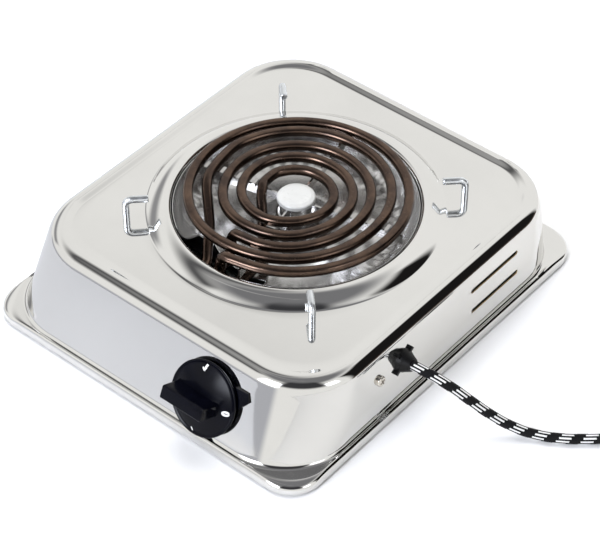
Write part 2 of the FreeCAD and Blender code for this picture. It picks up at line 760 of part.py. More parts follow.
def make_knob():
    """Skirted knob with a grip bar, a bored hub and four white marks."""
    foot = dim("bezel_height") + dim("knob_gap")
    skirt = primitive("Cone", "knob_skirt", face_place(0, 0, foot), Radius1="dims.knob_radius - 1.5",
                      Radius2="dims.knob_radius", Height="dims.knob_height - 1.0")
    crown = primitive("Cone", "knob_crown", face_place(0, 0, foot + dim("knob_height") - 1.0),
                      Radius1="dims.knob_radius", Radius2="dims.knob_radius - 1.2", Height="1.0")
    grip_foot = foot + dim("knob_height") - 2
    length = dim("grip_length")
    width = dim("grip_width")
    standing = Placement(Vector(), Rotation(Vector(1, 0, 0), 90))
    grip = primitive("Wedge", "knob_grip_block", face_place(-3.0, -0.6, grip_foot).multiply(standing),
                     Xmin="-%g" % (length / 2 + 1), Xmax="%g" % (length / 2 + 1),
                     Zmin="-%g" % (width / 2 + 1.6), Zmax="%g" % (width / 2 + 1.6),
                     X2min="-%g" % (length / 2 - 0.5), X2max="%g" % (length / 2 - 0.5),
                     Z2min="-%g" % (width / 2), Z2max="%g" % (width / 2),
                     Ymin="0", Ymax="dims.grip_height + 2")
    grip_edges = round_edges("knob_grip", grip, 1.0, lambda edge: True)
    solid = fuse("knob_solid", skirt, crown, grip_edges)
    hollow = ring("knob_hollow", face_place(0, 0, foot - 1), "dims.knob_radius - 2.6", "6.0",
                  "dims.knob_height - 1.5")
    bore = cylinder("knob_bore", face_place(0, 0, foot - 1), "dims.shaft_diameter / 2 + 0.05", "15")
    flat = box("knob_flat", face_place(-5, dim("shaft_diameter") / 2 - 0.95, foot - 1), "10", "5", "20")
    bore_d = cut("knob_bore_d", bore, flat)
    flat_level = dim("shaft_diameter") / 2 - 0.95
    slot = box("knob_clip_slot", face_place(-2.6, flat_level, foot - 1), "5.2", "0.75", "12")
    marks = make_marks(foot + dim("knob_height"))
    hollowed = cut("knob_hollowed", solid, fuse("knob_inside", hollow, bore_d, slot))
    piece(cut("knob_body", hollowed, marks), "knob")
    piece(marks, "knob_marks")
    clip = box("clip_leaf", face_place(-2.4, dim("shaft_diameter") / 2 - 0.9, foot), "4.8", "0.5", "10")
    piece(clip, "knob_spring_clip")


def make_marks(face):
    """White filled marks: a nought at the index, a one, and two plain ticks."""
    depth = face - MARK_LEVEL
    strokes = []
    nought = fuse("nought_solid",
                  cylinder("nought_end_0", face_place(20.9, 1.0, depth), "1.75", "0.3"),
                  cylinder("nought_end_1", face_place(20.9, -1.0, depth), "1.75", "0.3"),
                  box("nought_waist", face_place(19.15, -1.0, depth), "3.5", "2.0", "0.3"))
    eye = fuse("nought_eye",
               cylinder("nought_eye_0", face_place(20.9, 0.9, depth - 1), "0.75", "2.3"),
               cylinder("nought_eye_1", face_place(20.9, -0.9, depth - 1), "0.75", "2.3"),
               box("nought_eye_waist", face_place(20.15, -0.9, depth - 1), "1.5", "1.8", "2.3"))
    strokes.append(cut("nought", nought, eye))
    ticks = ((100, 19.4, 4.8), (180, 22.0, 2.2), (267, 21.6, 2.9))
    for number, (turn, start, length) in enumerate(ticks):
        tick = face_place(0, 0, depth, turn).multiply(Placement(Vector(start, -0.6, 0), Rotation()))
        strokes.append(box("tick_%d" % number, tick, "%g" % length, "1.2", "0.3"))
    flag_turn = Placement(Vector(23.7, 0.2, 0), Rotation(Vector(0, 0, 1), 140))
    flag = box("one_flag", face_place(0, 0, depth, 100).multiply(flag_turn), "2.0", "0.9", "0.3")
    strokes[1] = fuse("one_stroke", strokes[1], flag)
    return together("marks_together", *strokes)


def make_switch():
    """Rotary switch behind the face: body, cover, shaft, cam rotor, terminals and screws."""
    wall = -dim("sheet")
    depth = dim("switch_depth")
    side = dim("switch_side")
    plate = box("switch_plate", face_place(-side / 2, -side / 2, wall - 1.5), "dims.switch_side",
                "dims.switch_side", "1.5")
    plate_bores = fuse("switch_plate_bores",
                       cylinder("switch_plate_bore", face_place(0, 0, wall - 3),
                                "dims.shaft_diameter / 2 + 0.05", "5"),
                       cylinder("switch_plate_screw_0", face_place(-SWITCH_SCREW, 0, wall - 3), "1.5", "5"),
                       cylinder("switch_plate_screw_1", face_place(SWITCH_SCREW, 0, wall - 3), "1.5", "5"))
    piece(cut("switch_plate_bored", plate, plate_bores), "switch_cover")
    back = wall - 1.5 - depth
    shell = box("switch_shell", face_place(-side / 2 + 2, -side / 2 + 2, back),
                "dims.switch_side - 4", "dims.switch_side - 4", "dims.switch_depth")
    cavity = cylinder("switch_cavity", face_place(0, 0, back + 5), "12.0", "dims.switch_depth")
    pivot = cylinder("switch_pivot", face_place(0, 0, back + 1.5), "2.05", "8")
    shell_screws = [cylinder("switch_shell_screw_%d" % (end + 1),
                             face_place(end * SWITCH_SCREW, 0, back + 10), "2.0", "20") for end in (-1, 1)]
    piece(cut("switch_shell_bored", shell, fuse("switch_shell_hollow", cavity, pivot, *shell_screws)),
          "switch_body")
    rotor = cylinder("rotor_disc", face_place(0, 0, back + 5.4), "9.0", "12")
    lobes = []
    for quarter in range(4):
        outward = Placement(Vector(9.0, 0, 0), Rotation())
        lobe = face_place(0, 0, back + 5.4, 45 + 90 * quarter).multiply(outward)
        lobes.append(cylinder("rotor_notch_%d" % quarter, lobe, "2.6", "12"))
    lobes.append(cylinder("rotor_bore", face_place(0, 0, back), "dims.shaft_diameter / 2", "30"))
    piece(cut("rotor_notched", rotor, fuse("rotor_cuts", *lobes)), "switch_rotor")
    shaft_end = dim("bezel_height") + dim("knob_gap") + 12.5
    rod = cylinder("shaft_rod", face_place(0, 0, back + 5.4), "dims.shaft_diameter / 2",
                   "%g" % (shaft_end - back - 5.4))
    tip = cylinder("shaft_tip", face_place(0, 0, back + 2.0), "2.0", "4")
    flat_foot = dim("bezel_height") + dim("knob_gap")
    flat = box("shaft_flat", face_place(-5, dim("shaft_diameter") / 2 - 1.0, flat_foot), "10", "5", "20")
    piece(cut("shaft_flatted", fuse("shaft_solid", rod, tip), flat), "switch_shaft")
    tags = []
    for column in (-10.5, -3.5, 3.5, 10.5):
        for row in (-1, 1):
            tags.append(box("switch_tag_%d_%d" % (column * 2, row),
                            face_place(column - 2.4, row * 9 - 0.4, back - 6), "4.8", "0.8", "6"))
    piece(together("switch_tags_together", *tags), "switch_terminals")
    screws = []
    for end in (-1, 1):
        head = cylinder("switch_screw_head_%d" % (end + 1), face_place(end * SWITCH_SCREW, 0, 0.02),
                        "2.6", "1.1")
        shank = cylinder("switch_screw_shank_%d" % (end + 1), face_place(end * SWITCH_SCREW, 0, wall - 7),
                         "1.45", "9")
        screws.append(fuse("switch_screw_%d" % (end + 1), head, shank))
    piece(together("switch_screws_together", *screws), "switch_screws")


# ---------------------------------------------------------------------------
# Cord side: strain relief, clamp, screw, earth
# ---------------------------------------------------------------------------

def make_cord_entry():
    """Moulded strain relief through the wall, the clamp behind it and its pan-head screw."""
    y = dim("cord_y")
    z = dim("cord_z")
    flange = primitive("Cone", "relief_flange", side_place(y, z, 0.02), Radius1="8.4", Radius2="7.4",
                       Height="3")
    dome = primitive("Cone", "relief_dome", side_place(y, z, 3.0), Radius1="7.2", Radius2="4.6",
                     Height="5.5")
    neck = cylinder("relief_neck", side_place(y, z, -12), "6.4", "12.1")
    parts = [flange, dome, neck]
    for index in range(4):
        outward = Placement(Vector(6.5, -1.1, 0), Rotation())
        tooth = side_place(y, z, 0.02, 35 + 90 * index).multiply(outward)
        parts.append(box("relief_tooth_%d" % index, tooth, "4.2", "2.2", "2.2"))
    bore = cylinder("relief_bore", side_place(y, z, -12), "dims.cord_diameter / 2", "24")
    piece(cut("relief_bored", fuse("relief_solid", *parts), bore), "cord_grommet")
    sy = dim("screw_y")
    sz = dim("screw_z")
    head = cylinder("side_head_disc", side_place(sy, sz, 0.02), "3.7", "2.4")
    halfway = side_place(sy, sz, 1.5).Base.x
    domed = round_edges("side_head_dome", head, 1.2,
                        lambda edge: edge.Length > 20 and edge.CenterOfMass.x > halfway)
    shank = cylinder("side_shank", side_place(sy, sz, -11.5), "1.95", "12.5")
    cross = [box("side_cross_%d" % turn, side_place(sy, sz, 1.4, turn + 20).multiply(
        Placement(Vector(-2.3, -0.45, 0), Rotation())), "4.6", "0.9", "3") for turn in (0, 90)]
    piece(cut("side_screw_solid", fuse("side_screw_blank", domed, shank), fuse("side_cross", *cross)),
          "side_screw")
    saddle = box("saddle_strip", side_place(sy, sz, -dim("sheet") - 1.4).multiply(
        Placement(Vector(-5, -6, 0), Rotation())), "10", "12", "1.2")
    saddle_hole = cylinder("saddle_hole", side_place(sy, sz, -6), "2.1", "8")
    piece(cut("saddle", saddle, saddle_hole), "earth_tag")
    nut = primitive("Prism", "side_nut_hex", side_place(sy, sz, -dim("sheet") - 5.0), Circumradius="4.2",
                    Height="3.2")
    nut_bore = cylinder("side_nut_bore", side_place(sy, sz, -9), "1.95", "9")
    piece(cut("side_nut_bored", nut, nut_bore), "side_nut")


# ---------------------------------------------------------------------------
# Internal leads
# ---------------------------------------------------------------------------

LEAD_DIAMETER = 2.2


def make_leads():
    """Insulated leads: supply to switch and block, switch to block, and earth."""
    inside = side_place(dim("cord_y"), dim("cord_z"), -12.1).Base
    back = -dim("sheet") - 1.5 - dim("switch_depth") - 6.3
    tag = {}
    for column in (-10.5, -3.5, 3.5, 10.5):
        for row in (-1, 1):
            tag[(column, row)] = face_place(column, row * 9, back).Base
    level = dim("lead_level")
    block = {name: from_burner((x, -105.0, level))[0] for name, x in TERMINAL_X.items()}
    drop = Vector(0, 4.5, -1.5)
    routes = {
        "lead_live": [inside + Vector(0, 1.6, 0), inside + Vector(-9, 1.6, -4), inside + Vector(-20, -8, -10),
                      inside + Vector(-34, -34, -14), tag[(10.5, -1)] + drop * 2.2, tag[(10.5, -1)]],
        "lead_neutral": [inside + Vector(0, -1.6, -0.8), inside + Vector(-10, -4, 3),
                         inside + Vector(-30, -14, 9), spot(62, -66, 50), spot(36, -98, 52),
                         block["coil_end_a"] + Vector(4, -6, 0), block["coil_end_a"]],
        "lead_low": [tag[(-10.5, 1)], tag[(-10.5, 1)] + drop * 1.5, spot(20, -96, 40), spot(2, -101, 45),
                     block["coil_end_b"] + Vector(1, -7, -2), block["coil_end_b"]],
        "lead_high": [tag[(-3.5, 1)], tag[(-3.5, 1)] + drop * 1.5, spot(30, -90, 43), spot(17, -108, 46),
                      block["coil_end_d"] + Vector(1, -7, 0), block["coil_end_d"]],
        "lead_earth": [inside + Vector(0, 0, 1.7), inside + Vector(-8, -4, 5), inside + Vector(-12, -14, 3),
                       side_place(dim("screw_y") + 9, dim("screw_z"), -6).Base,
                       side_place(dim("screw_y") + 5.8, dim("screw_z"), -1.7).Base],
    }
    for name, points in routes.items():
        piece(pipe(name + "_wire", points, LEAD_DIAMETER)[0], name)


# ---------------------------------------------------------------------------
# Supply cord
# ---------------------------------------------------------------------------

COIL_CENTRE = (318.0, 52.0)
COIL_MEAN = 33.0
COIL_TURNS_WIDE = 3
COIL_BASE = 0.9
PLUG_LENGTH = 36.0
PLUG_BACK = 7.0
PLUG_FRONT = 19.0


def cord_route():
    """The cord from its strain relief down to the surface and on to its coil."""
    start = side_place(dim("cord_y"), dim("cord_z"), 8.5).Base
    out = SIDE_TURN.multVec(Vector(0, 0, 1))
    lie = dim("cord_diameter") / 2 + 0.05
    return [start, start + out * 13, spot(166.5, -38.6, 37.5), spot(178.5, -33.0, 28.0),
            spot(189.5, -26.0, 17.0), spot(201.0, -19.0, 8.3), spot(214.0, -12.5, 4.0),
            spot(229.0, -4.5, lie), spot(243.0, 6.5, lie), spot(256.5, 19.0, lie + 0.05),
            spot(268.5, 29.0, lie + 0.2), spot(276.0, 40.5, lie + 0.5),
            spot(COIL_CENTRE[0] - COIL_MEAN - dim("cord_diameter"), COIL_CENTRE[1],
                 COIL_BASE + dim("cord_diameter") / 2)]


TAIL_TURN = 150.0
TAIL_REACH = 46.0
PIN_SPACING = 19.0
PIN_RADIUS = 2.4
PIN_LENGTH = 19.0


def tail_start():
    """Where the last turn lets the cord's tail go, and the way it heads."""
    turn = math.radians(TAIL_TURN)
    radius = COIL_MEAN + dim("cord_diameter")
    leave = spot(COIL_CENTRE[0] + radius * math.cos(turn), COIL_CENTRE[1] + radius * math.sin(turn),
                 COIL_BASE + dim("cord_diameter") * 1.5)
    return leave, Vector(math.sin(turn), -math.cos(turn), 0)


def plug_place():
    """The plug lies on its side past the coil, in line with the cord's tail."""
    leave, heading = tail_start()
    back = leave + heading * TAIL_REACH
    back.z = PLUG_FRONT + 0.05
    return Placement(back, Rotation(Vector(0, 0, 1), TAIL_TURN - 90).multiply(Rotation(Vector(0, 1, 0), 90)))


def make_cord():
    """The cord's loose stretch, and its short tail from the coil to the plug."""
    leave, heading = tail_start()
    back = plug_place().Base
    tail = [leave, leave + heading * TAIL_REACH / 3 + Vector(0, 0, 1.5),
            back - heading * TAIL_REACH / 3, back]
    for name, points in (("supply_cord", cord_route()), ("cord_tail", tail)):
        tube, radii, length = pipe(name + "_tube", points, dim("cord_diameter"))
        print("%s: %.0f mm, radii %s" % (name, length, ", ".join("%.0f" % radius for radius in radii)))
        piece(tube, name)


def make_cord_coil():
    """The put-away turns as one ring, and the tie round them."""
    wide = COIL_TURNS_WIDE * dim("cord_diameter")
    tall = 2 * dim("cord_diameter")
    place = upright(COIL_CENTRE[0], COIL_CENTRE[1], COIL_BASE)
    hank = ring("coil_ring", place, "%g" % (COIL_MEAN + wide / 2), "%g" % (COIL_MEAN - wide / 2),
                "%g" % tall)
    piece(round_edges("coil_rounded", hank, 2.9, lambda edge: edge.Length > 60), "cord_coil")
    lap = 0.8
    tie = upright(COIL_CENTRE[0] + COIL_MEAN, COIL_CENTRE[1] - 2.5, COIL_BASE - lap)
    outside = box("tie_outside", tie.multiply(Placement(Vector(-wide / 2 - lap, 0, 0), Rotation())),
                  "%g" % (wide + 2 * lap), "5", "%g" % (tall + 2 * lap))
    inside = box("tie_inside", tie.multiply(Placement(Vector(-wide / 2, -1, lap), Rotation())),
                 "%g" % wide, "7", "%g" % tall)
    piece(cut("tie_band", outside, inside), "cord_tie")


def make_plug():
    """Round two-pin plug with a tapered back, of the kind with earth clips at its sides."""
    place = plug_place()
    outline = [(0, 0), (PLUG_BACK, 0), (PLUG_BACK + 1, 6), (PLUG_BACK + 5, 15), (PLUG_FRONT, 21),
               (PLUG_FRONT, PLUG_LENGTH - 1), (PLUG_FRONT - 1, PLUG_LENGTH), (0, PLUG_LENGTH)]
    turned = revolved("plug_turned", outline, place)
    grooves = [box("plug_groove_%d" % (side + 1),
                   place.multiply(Placement(Vector(side * 18 - 1.5, -3.5, 22), Rotation())),
                   "3", "7", "20") for side in (-1, 1)]
    piece(cut("plug_grooved", turned, fuse("plug_grooves", *grooves)), "plug_body")
    pins = []
    for side in (-1, 1):
        seat = place.multiply(Placement(Vector(0, side * PIN_SPACING / 2, PLUG_LENGTH), Rotation()))
        pin = cylinder("plug_pin_blank_%d" % (side + 1), seat, "%g" % PIN_RADIUS, "%g" % PIN_LENGTH)
        pins.append(round_edges("plug_pin_%d" % (side + 1), pin, 1.0, far_rim(seat)))
        print("plug pin: middle %s along %s" % (seat.multVec(Vector(0, 0, PIN_LENGTH / 2)),
                                                seat.Rotation.multVec(Vector(0, 0, 1))))
    piece(together("plug_pins_together", *pins), "plug_pins")


def check_and_write():
    """Stop on any failed object, then write one STEP file for each sub-part."""
    doc.recompute()
    for obj in doc.Objects:
        bad = [state for state in obj.State if state in ("Invalid", "Error")]
        if bad:
            raise ValueError("%s is %s" % (obj.Name, bad))
    os.makedirs("parts", exist_ok=True)
    for obj in PIECES:
        shape = obj.Shape
        if shape.isNull() or not shape.isValid() or not shape.Solids:
            raise ValueError("%s has no valid shape" % obj.Label)
        shape.exportStep("parts/%s.step" % obj.Label)
    print("%d pieces" % len(PIECES))


make_housing()
make_base()
make_brackets_and_screws()
make_feet()
make_dish()
make_spider()
make_centre()
make_elements()
make_terminals()
make_pot_rests()
make_index_ring()
make_knob()
make_switch()
make_cord_entry()
make_leads()
make_cord()
make_cord_coil()
make_plug()
check_and_write()
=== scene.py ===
import json
import math

import bmesh
import bpy
import numpy as np
from mathutils import Matrix, Vector


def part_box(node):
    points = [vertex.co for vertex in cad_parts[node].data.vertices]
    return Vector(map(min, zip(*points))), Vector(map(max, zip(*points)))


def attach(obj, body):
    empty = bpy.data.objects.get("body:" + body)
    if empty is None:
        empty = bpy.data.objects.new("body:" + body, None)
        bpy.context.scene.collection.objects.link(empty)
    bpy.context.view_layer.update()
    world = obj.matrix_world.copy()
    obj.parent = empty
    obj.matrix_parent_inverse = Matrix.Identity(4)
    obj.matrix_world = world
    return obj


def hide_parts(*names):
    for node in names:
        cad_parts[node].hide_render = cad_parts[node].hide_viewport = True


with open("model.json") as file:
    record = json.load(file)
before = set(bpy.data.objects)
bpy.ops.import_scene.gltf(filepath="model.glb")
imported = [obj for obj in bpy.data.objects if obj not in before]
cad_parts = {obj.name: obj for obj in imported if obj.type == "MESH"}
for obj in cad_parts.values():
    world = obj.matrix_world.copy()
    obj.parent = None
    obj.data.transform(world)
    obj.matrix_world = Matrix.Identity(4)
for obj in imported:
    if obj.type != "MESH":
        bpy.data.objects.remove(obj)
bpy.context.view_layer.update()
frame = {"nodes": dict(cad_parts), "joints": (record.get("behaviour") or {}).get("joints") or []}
MM = 0.001
BASE_BODY = "hot_plate"
KNOB_BODY = "control"

# ---------------------------------------------------------------------------
# Places, read from the frame
# ---------------------------------------------------------------------------

shell_low, shell_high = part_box("top_housing")
CENTRE_Y = (shell_low.y + shell_high.y) / 2 / MM
cap_low, cap_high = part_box("centre_cap")
BURNER_X = (cap_low.x + cap_high.x) / 2 / MM
BURNER_Y = (cap_low.y + cap_high.y) / 2 / MM - CENTRE_Y
hinge = frame["joints"][0]
KNOB_POINT = Vector(hinge["pos_m"])
KNOB_OUT = Vector(hinge["axis"]).normalized()
KNOB_U = Vector((1, 0, 0))
KNOB_V = KNOB_OUT.cross(KNOB_U)
UP = Vector((0, 0, 1))


def spot(x, y, z):
    """A point in millimetres from the middle of the housing's foot, as metres in the row frame."""
    return Vector((x * MM, (y + CENTRE_Y) * MM, z * MM))


def burner(radius, degrees, z):
    """A point in millimetres round the burner's axis."""
    turn = math.radians(degrees)
    return spot(BURNER_X + radius * math.cos(turn), BURNER_Y + radius * math.sin(turn), z)


def knob_spot(u, v, out):
    """A point in millimetres on the knob's axis system."""
    return KNOB_POINT + (KNOB_U * u + KNOB_V * v + KNOB_OUT * out) * MM


# ---------------------------------------------------------------------------
# Mesh building
# ---------------------------------------------------------------------------

def add_object(name, data):
    obj = bpy.data.objects.new(name, data)
    bpy.context.scene.collection.objects.link(obj)
    return obj


def smooth_mesh(name, points, faces):
    mesh = bpy.data.meshes.new(name)
    mesh.from_pydata([tuple(p) for p in points], [], faces)
    for polygon in mesh.polygons:
        polygon.use_smooth = True
    return mesh


def loft(name, loops, cap_first=False, cap_last=False):
    """A skin over loops that all hold the same number of points."""
    count = len(loops[0])
    points = [p for loop in loops for p in loop]
    faces = []
    for row in range(len(loops) - 1):
        lower, upper = row * count, (row + 1) * count
        for i in range(count):
            j = (i + 1) % count
            faces.append((lower + i, lower + j, upper + j, upper + i))
    if cap_first:
        faces.append(tuple(range(count - 1, -1, -1)))
    if cap_last:
        last = (len(loops) - 1) * count
        faces.append(tuple(range(last, last + count)))
    mesh = smooth_mesh(name, points, faces)
    mesh.validate()
    bm = bmesh.new()
    bm.from_mesh(mesh)
    bmesh.ops.recalc_face_normals(bm, faces=bm.faces)
    bm.to_mesh(mesh)
    bm.free()
    return add_object(name, mesh)


def turned(name, profile, place, steps=96):
    """A skin turned about an axis: place(radius, angle, height) gives each point."""
    loops = [[place(radius, 360.0 * i / steps, height) for i in range(steps)] for radius, height in profile]
    return loft(name, loops)


def smooth_line(points, per_span=8):
    """A Catmull-Rom curve through the points."""
    pts = [Vector(p) for p in points]
    pts = [pts[0] * 2 - pts[1]] + pts + [pts[-1] * 2 - pts[-2]]
    out = []
    for i in range(1, len(pts) - 2):
        a, b, c, d = pts[i - 1:i + 3]
        for k in range(per_span):
            t = k / per_span
            out.append(0.5 * ((2 * b) + (c - a) * t + (2 * a - 5 * b + 4 * c - d) * t ** 2
                              + (3 * b - a - 3 * c + d) * t ** 3))
    out.append(pts[-2])
    return out


def heading_at(path, index):
    before = path[max(index - 1, 0)]
    after = path[min(index + 1, len(path) - 1)]
    return (after - before).normalized()


def frames_along(path):
    """Side, up and forward vectors at each point of a path, turning as little as possible."""
    result = []
    side = None
    for index in range(len(path)):
        along = heading_at(path, index)
        if side is None:
            side = along.cross(UP)
            if side.length < 1e-6:
                side = along.cross(Vector((1, 0, 0)))
        side = (side - along * side.dot(along)).normalized()
        result.append((side, side.cross(along).normalized(), along))
    return result


def sweep(name, path, section, level=False, scale=None):
    """A tube of one section along a path.  level keeps the section's top facing up, but for steep stretches."""
    loops = []
    for index, (point, (side, up, along)) in enumerate(zip(path, frames_along(path))):
        flat = along.cross(UP)
        if level and flat.length > 0.2:
            side = flat.normalized()
            up = side.cross(along).normalized()
        k = 1.0 if scale is None else scale(index / (len(path) - 1))
        loops.append([point + side * (a * k) + up * (b * k) for a, b in section])
    return loft(name, loops, cap_first=True, cap_last=True)


def circle(radius, steps):
    turns = [2 * math.pi * i / steps for i in range(steps)]
    return [(radius * math.cos(turn), radius * math.sin(turn)) for turn in turns]


def join(name, pieces):
    """Several meshes as one object."""
    points, faces = [], []
    for piece in pieces:
        start = len(points)
        points += [piece.matrix_world @ v.co for v in piece.data.vertices]
        faces += [[start + v for v in polygon.vertices] for polygon in piece.data.polygons]
        mesh = piece.data
        bpy.data.objects.remove(piece)
        bpy.data.meshes.remove(mesh)
    return add_object(name, smooth_mesh(name, points, faces))


def bake_modifiers(obj):
    """Replace the mesh with its evaluated form."""
    graph = bpy.context.evaluated_depsgraph_get()
    mesh = bpy.data.meshes.new_from_object(obj.evaluated_get(graph))
    obj.modifiers.clear()
    obj.data = mesh


# ---------------------------------------------------------------------------
# Materials
# ---------------------------------------------------------------------------

class Nodes:
    """A short way to write a node tree."""

    def __init__(self, name):
        self.material = bpy.data.materials.new(name)
        self.material.use_nodes = True
        self.tree = self.material.node_tree
        self.shader = self.tree.nodes["Principled BSDF"]
        self.where = self.add("ShaderNodeTexCoord").outputs["Object"]

    def add(self, kind, **settings):
        node = self.tree.nodes.new(kind)
        for key, value in settings.items():
            setattr(node, key, value)
        return node

    def link(self, source, target):
        self.tree.links.new(source, target)

    def feed(self, node, key, value):
        """Link a socket, or set it to a number or colour."""
        socket = node.inputs[key]
        if isinstance(value, bpy.types.NodeSocket):
            self.link(value, socket)
        elif socket.type == "RGBA":
            socket.default_value = (*value, 1)
        else:
            socket.default_value = value

    def put(self, **values):
        """Feed the shader's own sockets."""
        for key, value in values.items():
            self.feed(self.shader, key.replace("_", " "), value)

    def noise(self, scale, detail, rough, stretch=None):
        node = self.add("ShaderNodeTexNoise")
        source = self.where
        if stretch is not None:
            mapping = self.add("ShaderNodeMapping")
            self.feed(mapping, "Vector", source)
            mapping.inputs["Scale"].default_value = stretch
            source = mapping.outputs["Vector"]
        self.feed(node, "Vector", source)
        node.inputs["Scale"].default_value = scale
        node.inputs["Detail"].default_value = detail
        node.inputs["Roughness"].default_value = rough
        return node.outputs["Fac"]

    def spread(self, value, low, high, to_low=0.0, to_high=1.0):
        node = self.add("ShaderNodeMapRange")
        self.feed(node, "Value", value)
        for key, number in (("From Min", low), ("From Max", high), ("To Min", to_low), ("To Max", to_high)):
            node.inputs[key].default_value = number
        return node.outputs["Result"]

    def mix(self, factor, first, second):
        node = self.add("ShaderNodeMix", data_type="RGBA")
        self.feed(node, 0, factor)
        self.feed(node, 6, first)
        self.feed(node, 7, second)
        return node.outputs[2]

    def math(self, operation, first, second=0.0):
        node = self.add("ShaderNodeMath", operation=operation)
        self.feed(node, 0, first)
        self.feed(node, 1, second)
        return node.outputs[0]

    def bump(self, height, strength, distance):
        node = self.add("ShaderNodeBump")
        self.feed(node, "Height", height)
        node.inputs["Strength"].default_value = strength
        node.inputs["Distance"].default_value = distance
        self.link(node.outputs["Normal"], self.shader.inputs["Normal"])


def shade(tint, share):
    return tuple(c * share for c in tint)


def chrome(name, tint, roughness, wave):
    """Bright plating with faint smudges, hairlines and a slow wave in the pressing."""
    n = Nodes(name)
    smudge = n.noise(14, 4, 0.6)
    fine = n.noise(900, 2, 0.6, stretch=(1, 0.15, 1))
    n.put(Metallic=1.0, Base_Color=n.mix(n.spread(smudge, 0.35, 0.75), tint, shade(tint, 0.95)))
    cloudy = n.spread(smudge, 0.4, 0.8, roughness, roughness * 1.9)
    n.put(Roughness=n.math("ADD", cloudy, n.spread(fine, 0.5, 0.9, 0, 0.02)))
    n.bump(n.noise(16, 2, 0.4), wave, 0.002)
    return n.material


def plated(name, tint, roughness):
    """Duller zinc or nickel plating."""
    n = Nodes(name)
    grain = n.noise(420, 2, 0.5)
    cloud = n.noise(60, 3, 0.6)
    n.put(Metallic=1.0, Base_Color=n.mix(n.spread(cloud, 0.35, 0.7), tint, shade(tint, 0.88)))
    n.put(Roughness=n.spread(grain, 0.3, 0.75, roughness * 0.9, roughness * 1.2))
    n.bump(grain, 0.01, 0.00002)
    return n.material


def bowl_metal():
    """Bright aluminium with light stains."""
    n = Nodes("bowl_aluminium")
    streak = n.noise(160, 2, 0.5, stretch=(1, 1, 0.2))
    stain = n.noise(25, 3, 0.55)
    colour = n.mix(n.spread(stain, 0.4, 0.75), (0.80, 0.80, 0.80), (0.70, 0.69, 0.67))
    n.put(Metallic=1.0, Base_Color=colour)
    n.put(Roughness=n.spread(streak, 0.3, 0.8, 0.2, 0.28))
    n.bump(streak, 0.005, 0.00003)
    return n.material


def element_metal():
    """Oxidised brown sheath with a little pale dust."""
    n = Nodes("element_sheath")
    cloud = n.noise(70, 4, 0.65)
    speck = n.noise(900, 3, 0.7)
    brown = n.mix(n.spread(cloud, 0.35, 0.7), (0.070, 0.050, 0.042), (0.150, 0.100, 0.074))
    dusty = n.mix(n.spread(speck, 0.62, 0.85), brown, (0.20, 0.15, 0.12))
    n.put(Metallic=1.0, Base_Color=dusty, Roughness=n.spread(speck, 0.3, 0.8, 0.20, 0.3))
    n.bump(speck, 0.02, 0.00003)
    return n.material


def black_gloss(name, tint, roughness):
    """Glossy black moulding with a slight orange peel."""
    n = Nodes(name)
    cloud = n.noise(90, 3, 0.6)
    peel = n.noise(700, 2, 0.5)
    n.put(Base_Color=n.mix(n.spread(cloud, 0.4, 0.7), tint, shade(tint, 1.6)))
    n.put(Roughness=n.spread(cloud, 0.3, 0.75, roughness, roughness * 1.7))
    n.put(IOR=1.42, Specular_IOR_Level=0.17)
    n.bump(peel, 0.02, 0.00005)
    return n.material


def rubber(name, tint, roughness):
    """Matt grained rubber."""
    n = Nodes(name)
    grain = n.noise(800, 4, 0.7)
    n.put(Base_Color=n.mix(n.spread(grain, 0.35, 0.75), tint, shade(tint, 1.7)))
    n.put(Roughness=n.spread(grain, 0.3, 0.8, roughness * 0.85, min(1.0, roughness * 1.15)))
    n.put(Specular_IOR_Level=0.25)
    n.bump(grain, 0.22, 0.0001)
    return n.material


def plain(name, tint, roughness, metal=0.0, grain_scale=500, grain_bump=0.08):
    """One tint with a cloudy tone and a fine grain."""
    n = Nodes(name)
    grain = n.noise(grain_scale, 4, 0.65)
    cloud = n.noise(45, 3, 0.55)
    n.put(Metallic=metal, Base_Color=n.mix(n.spread(cloud, 0.35, 0.75), tint, shade(tint, 0.82)))
    n.put(Roughness=n.spread(grain, 0.3, 0.8, roughness * 0.85, min(1.0, roughness * 1.25)))
    n.bump(grain, grain_bump, 0.0003)
    return n.material


BRAID_ROWS = 9
THREADS_PER_CELL = 22.0


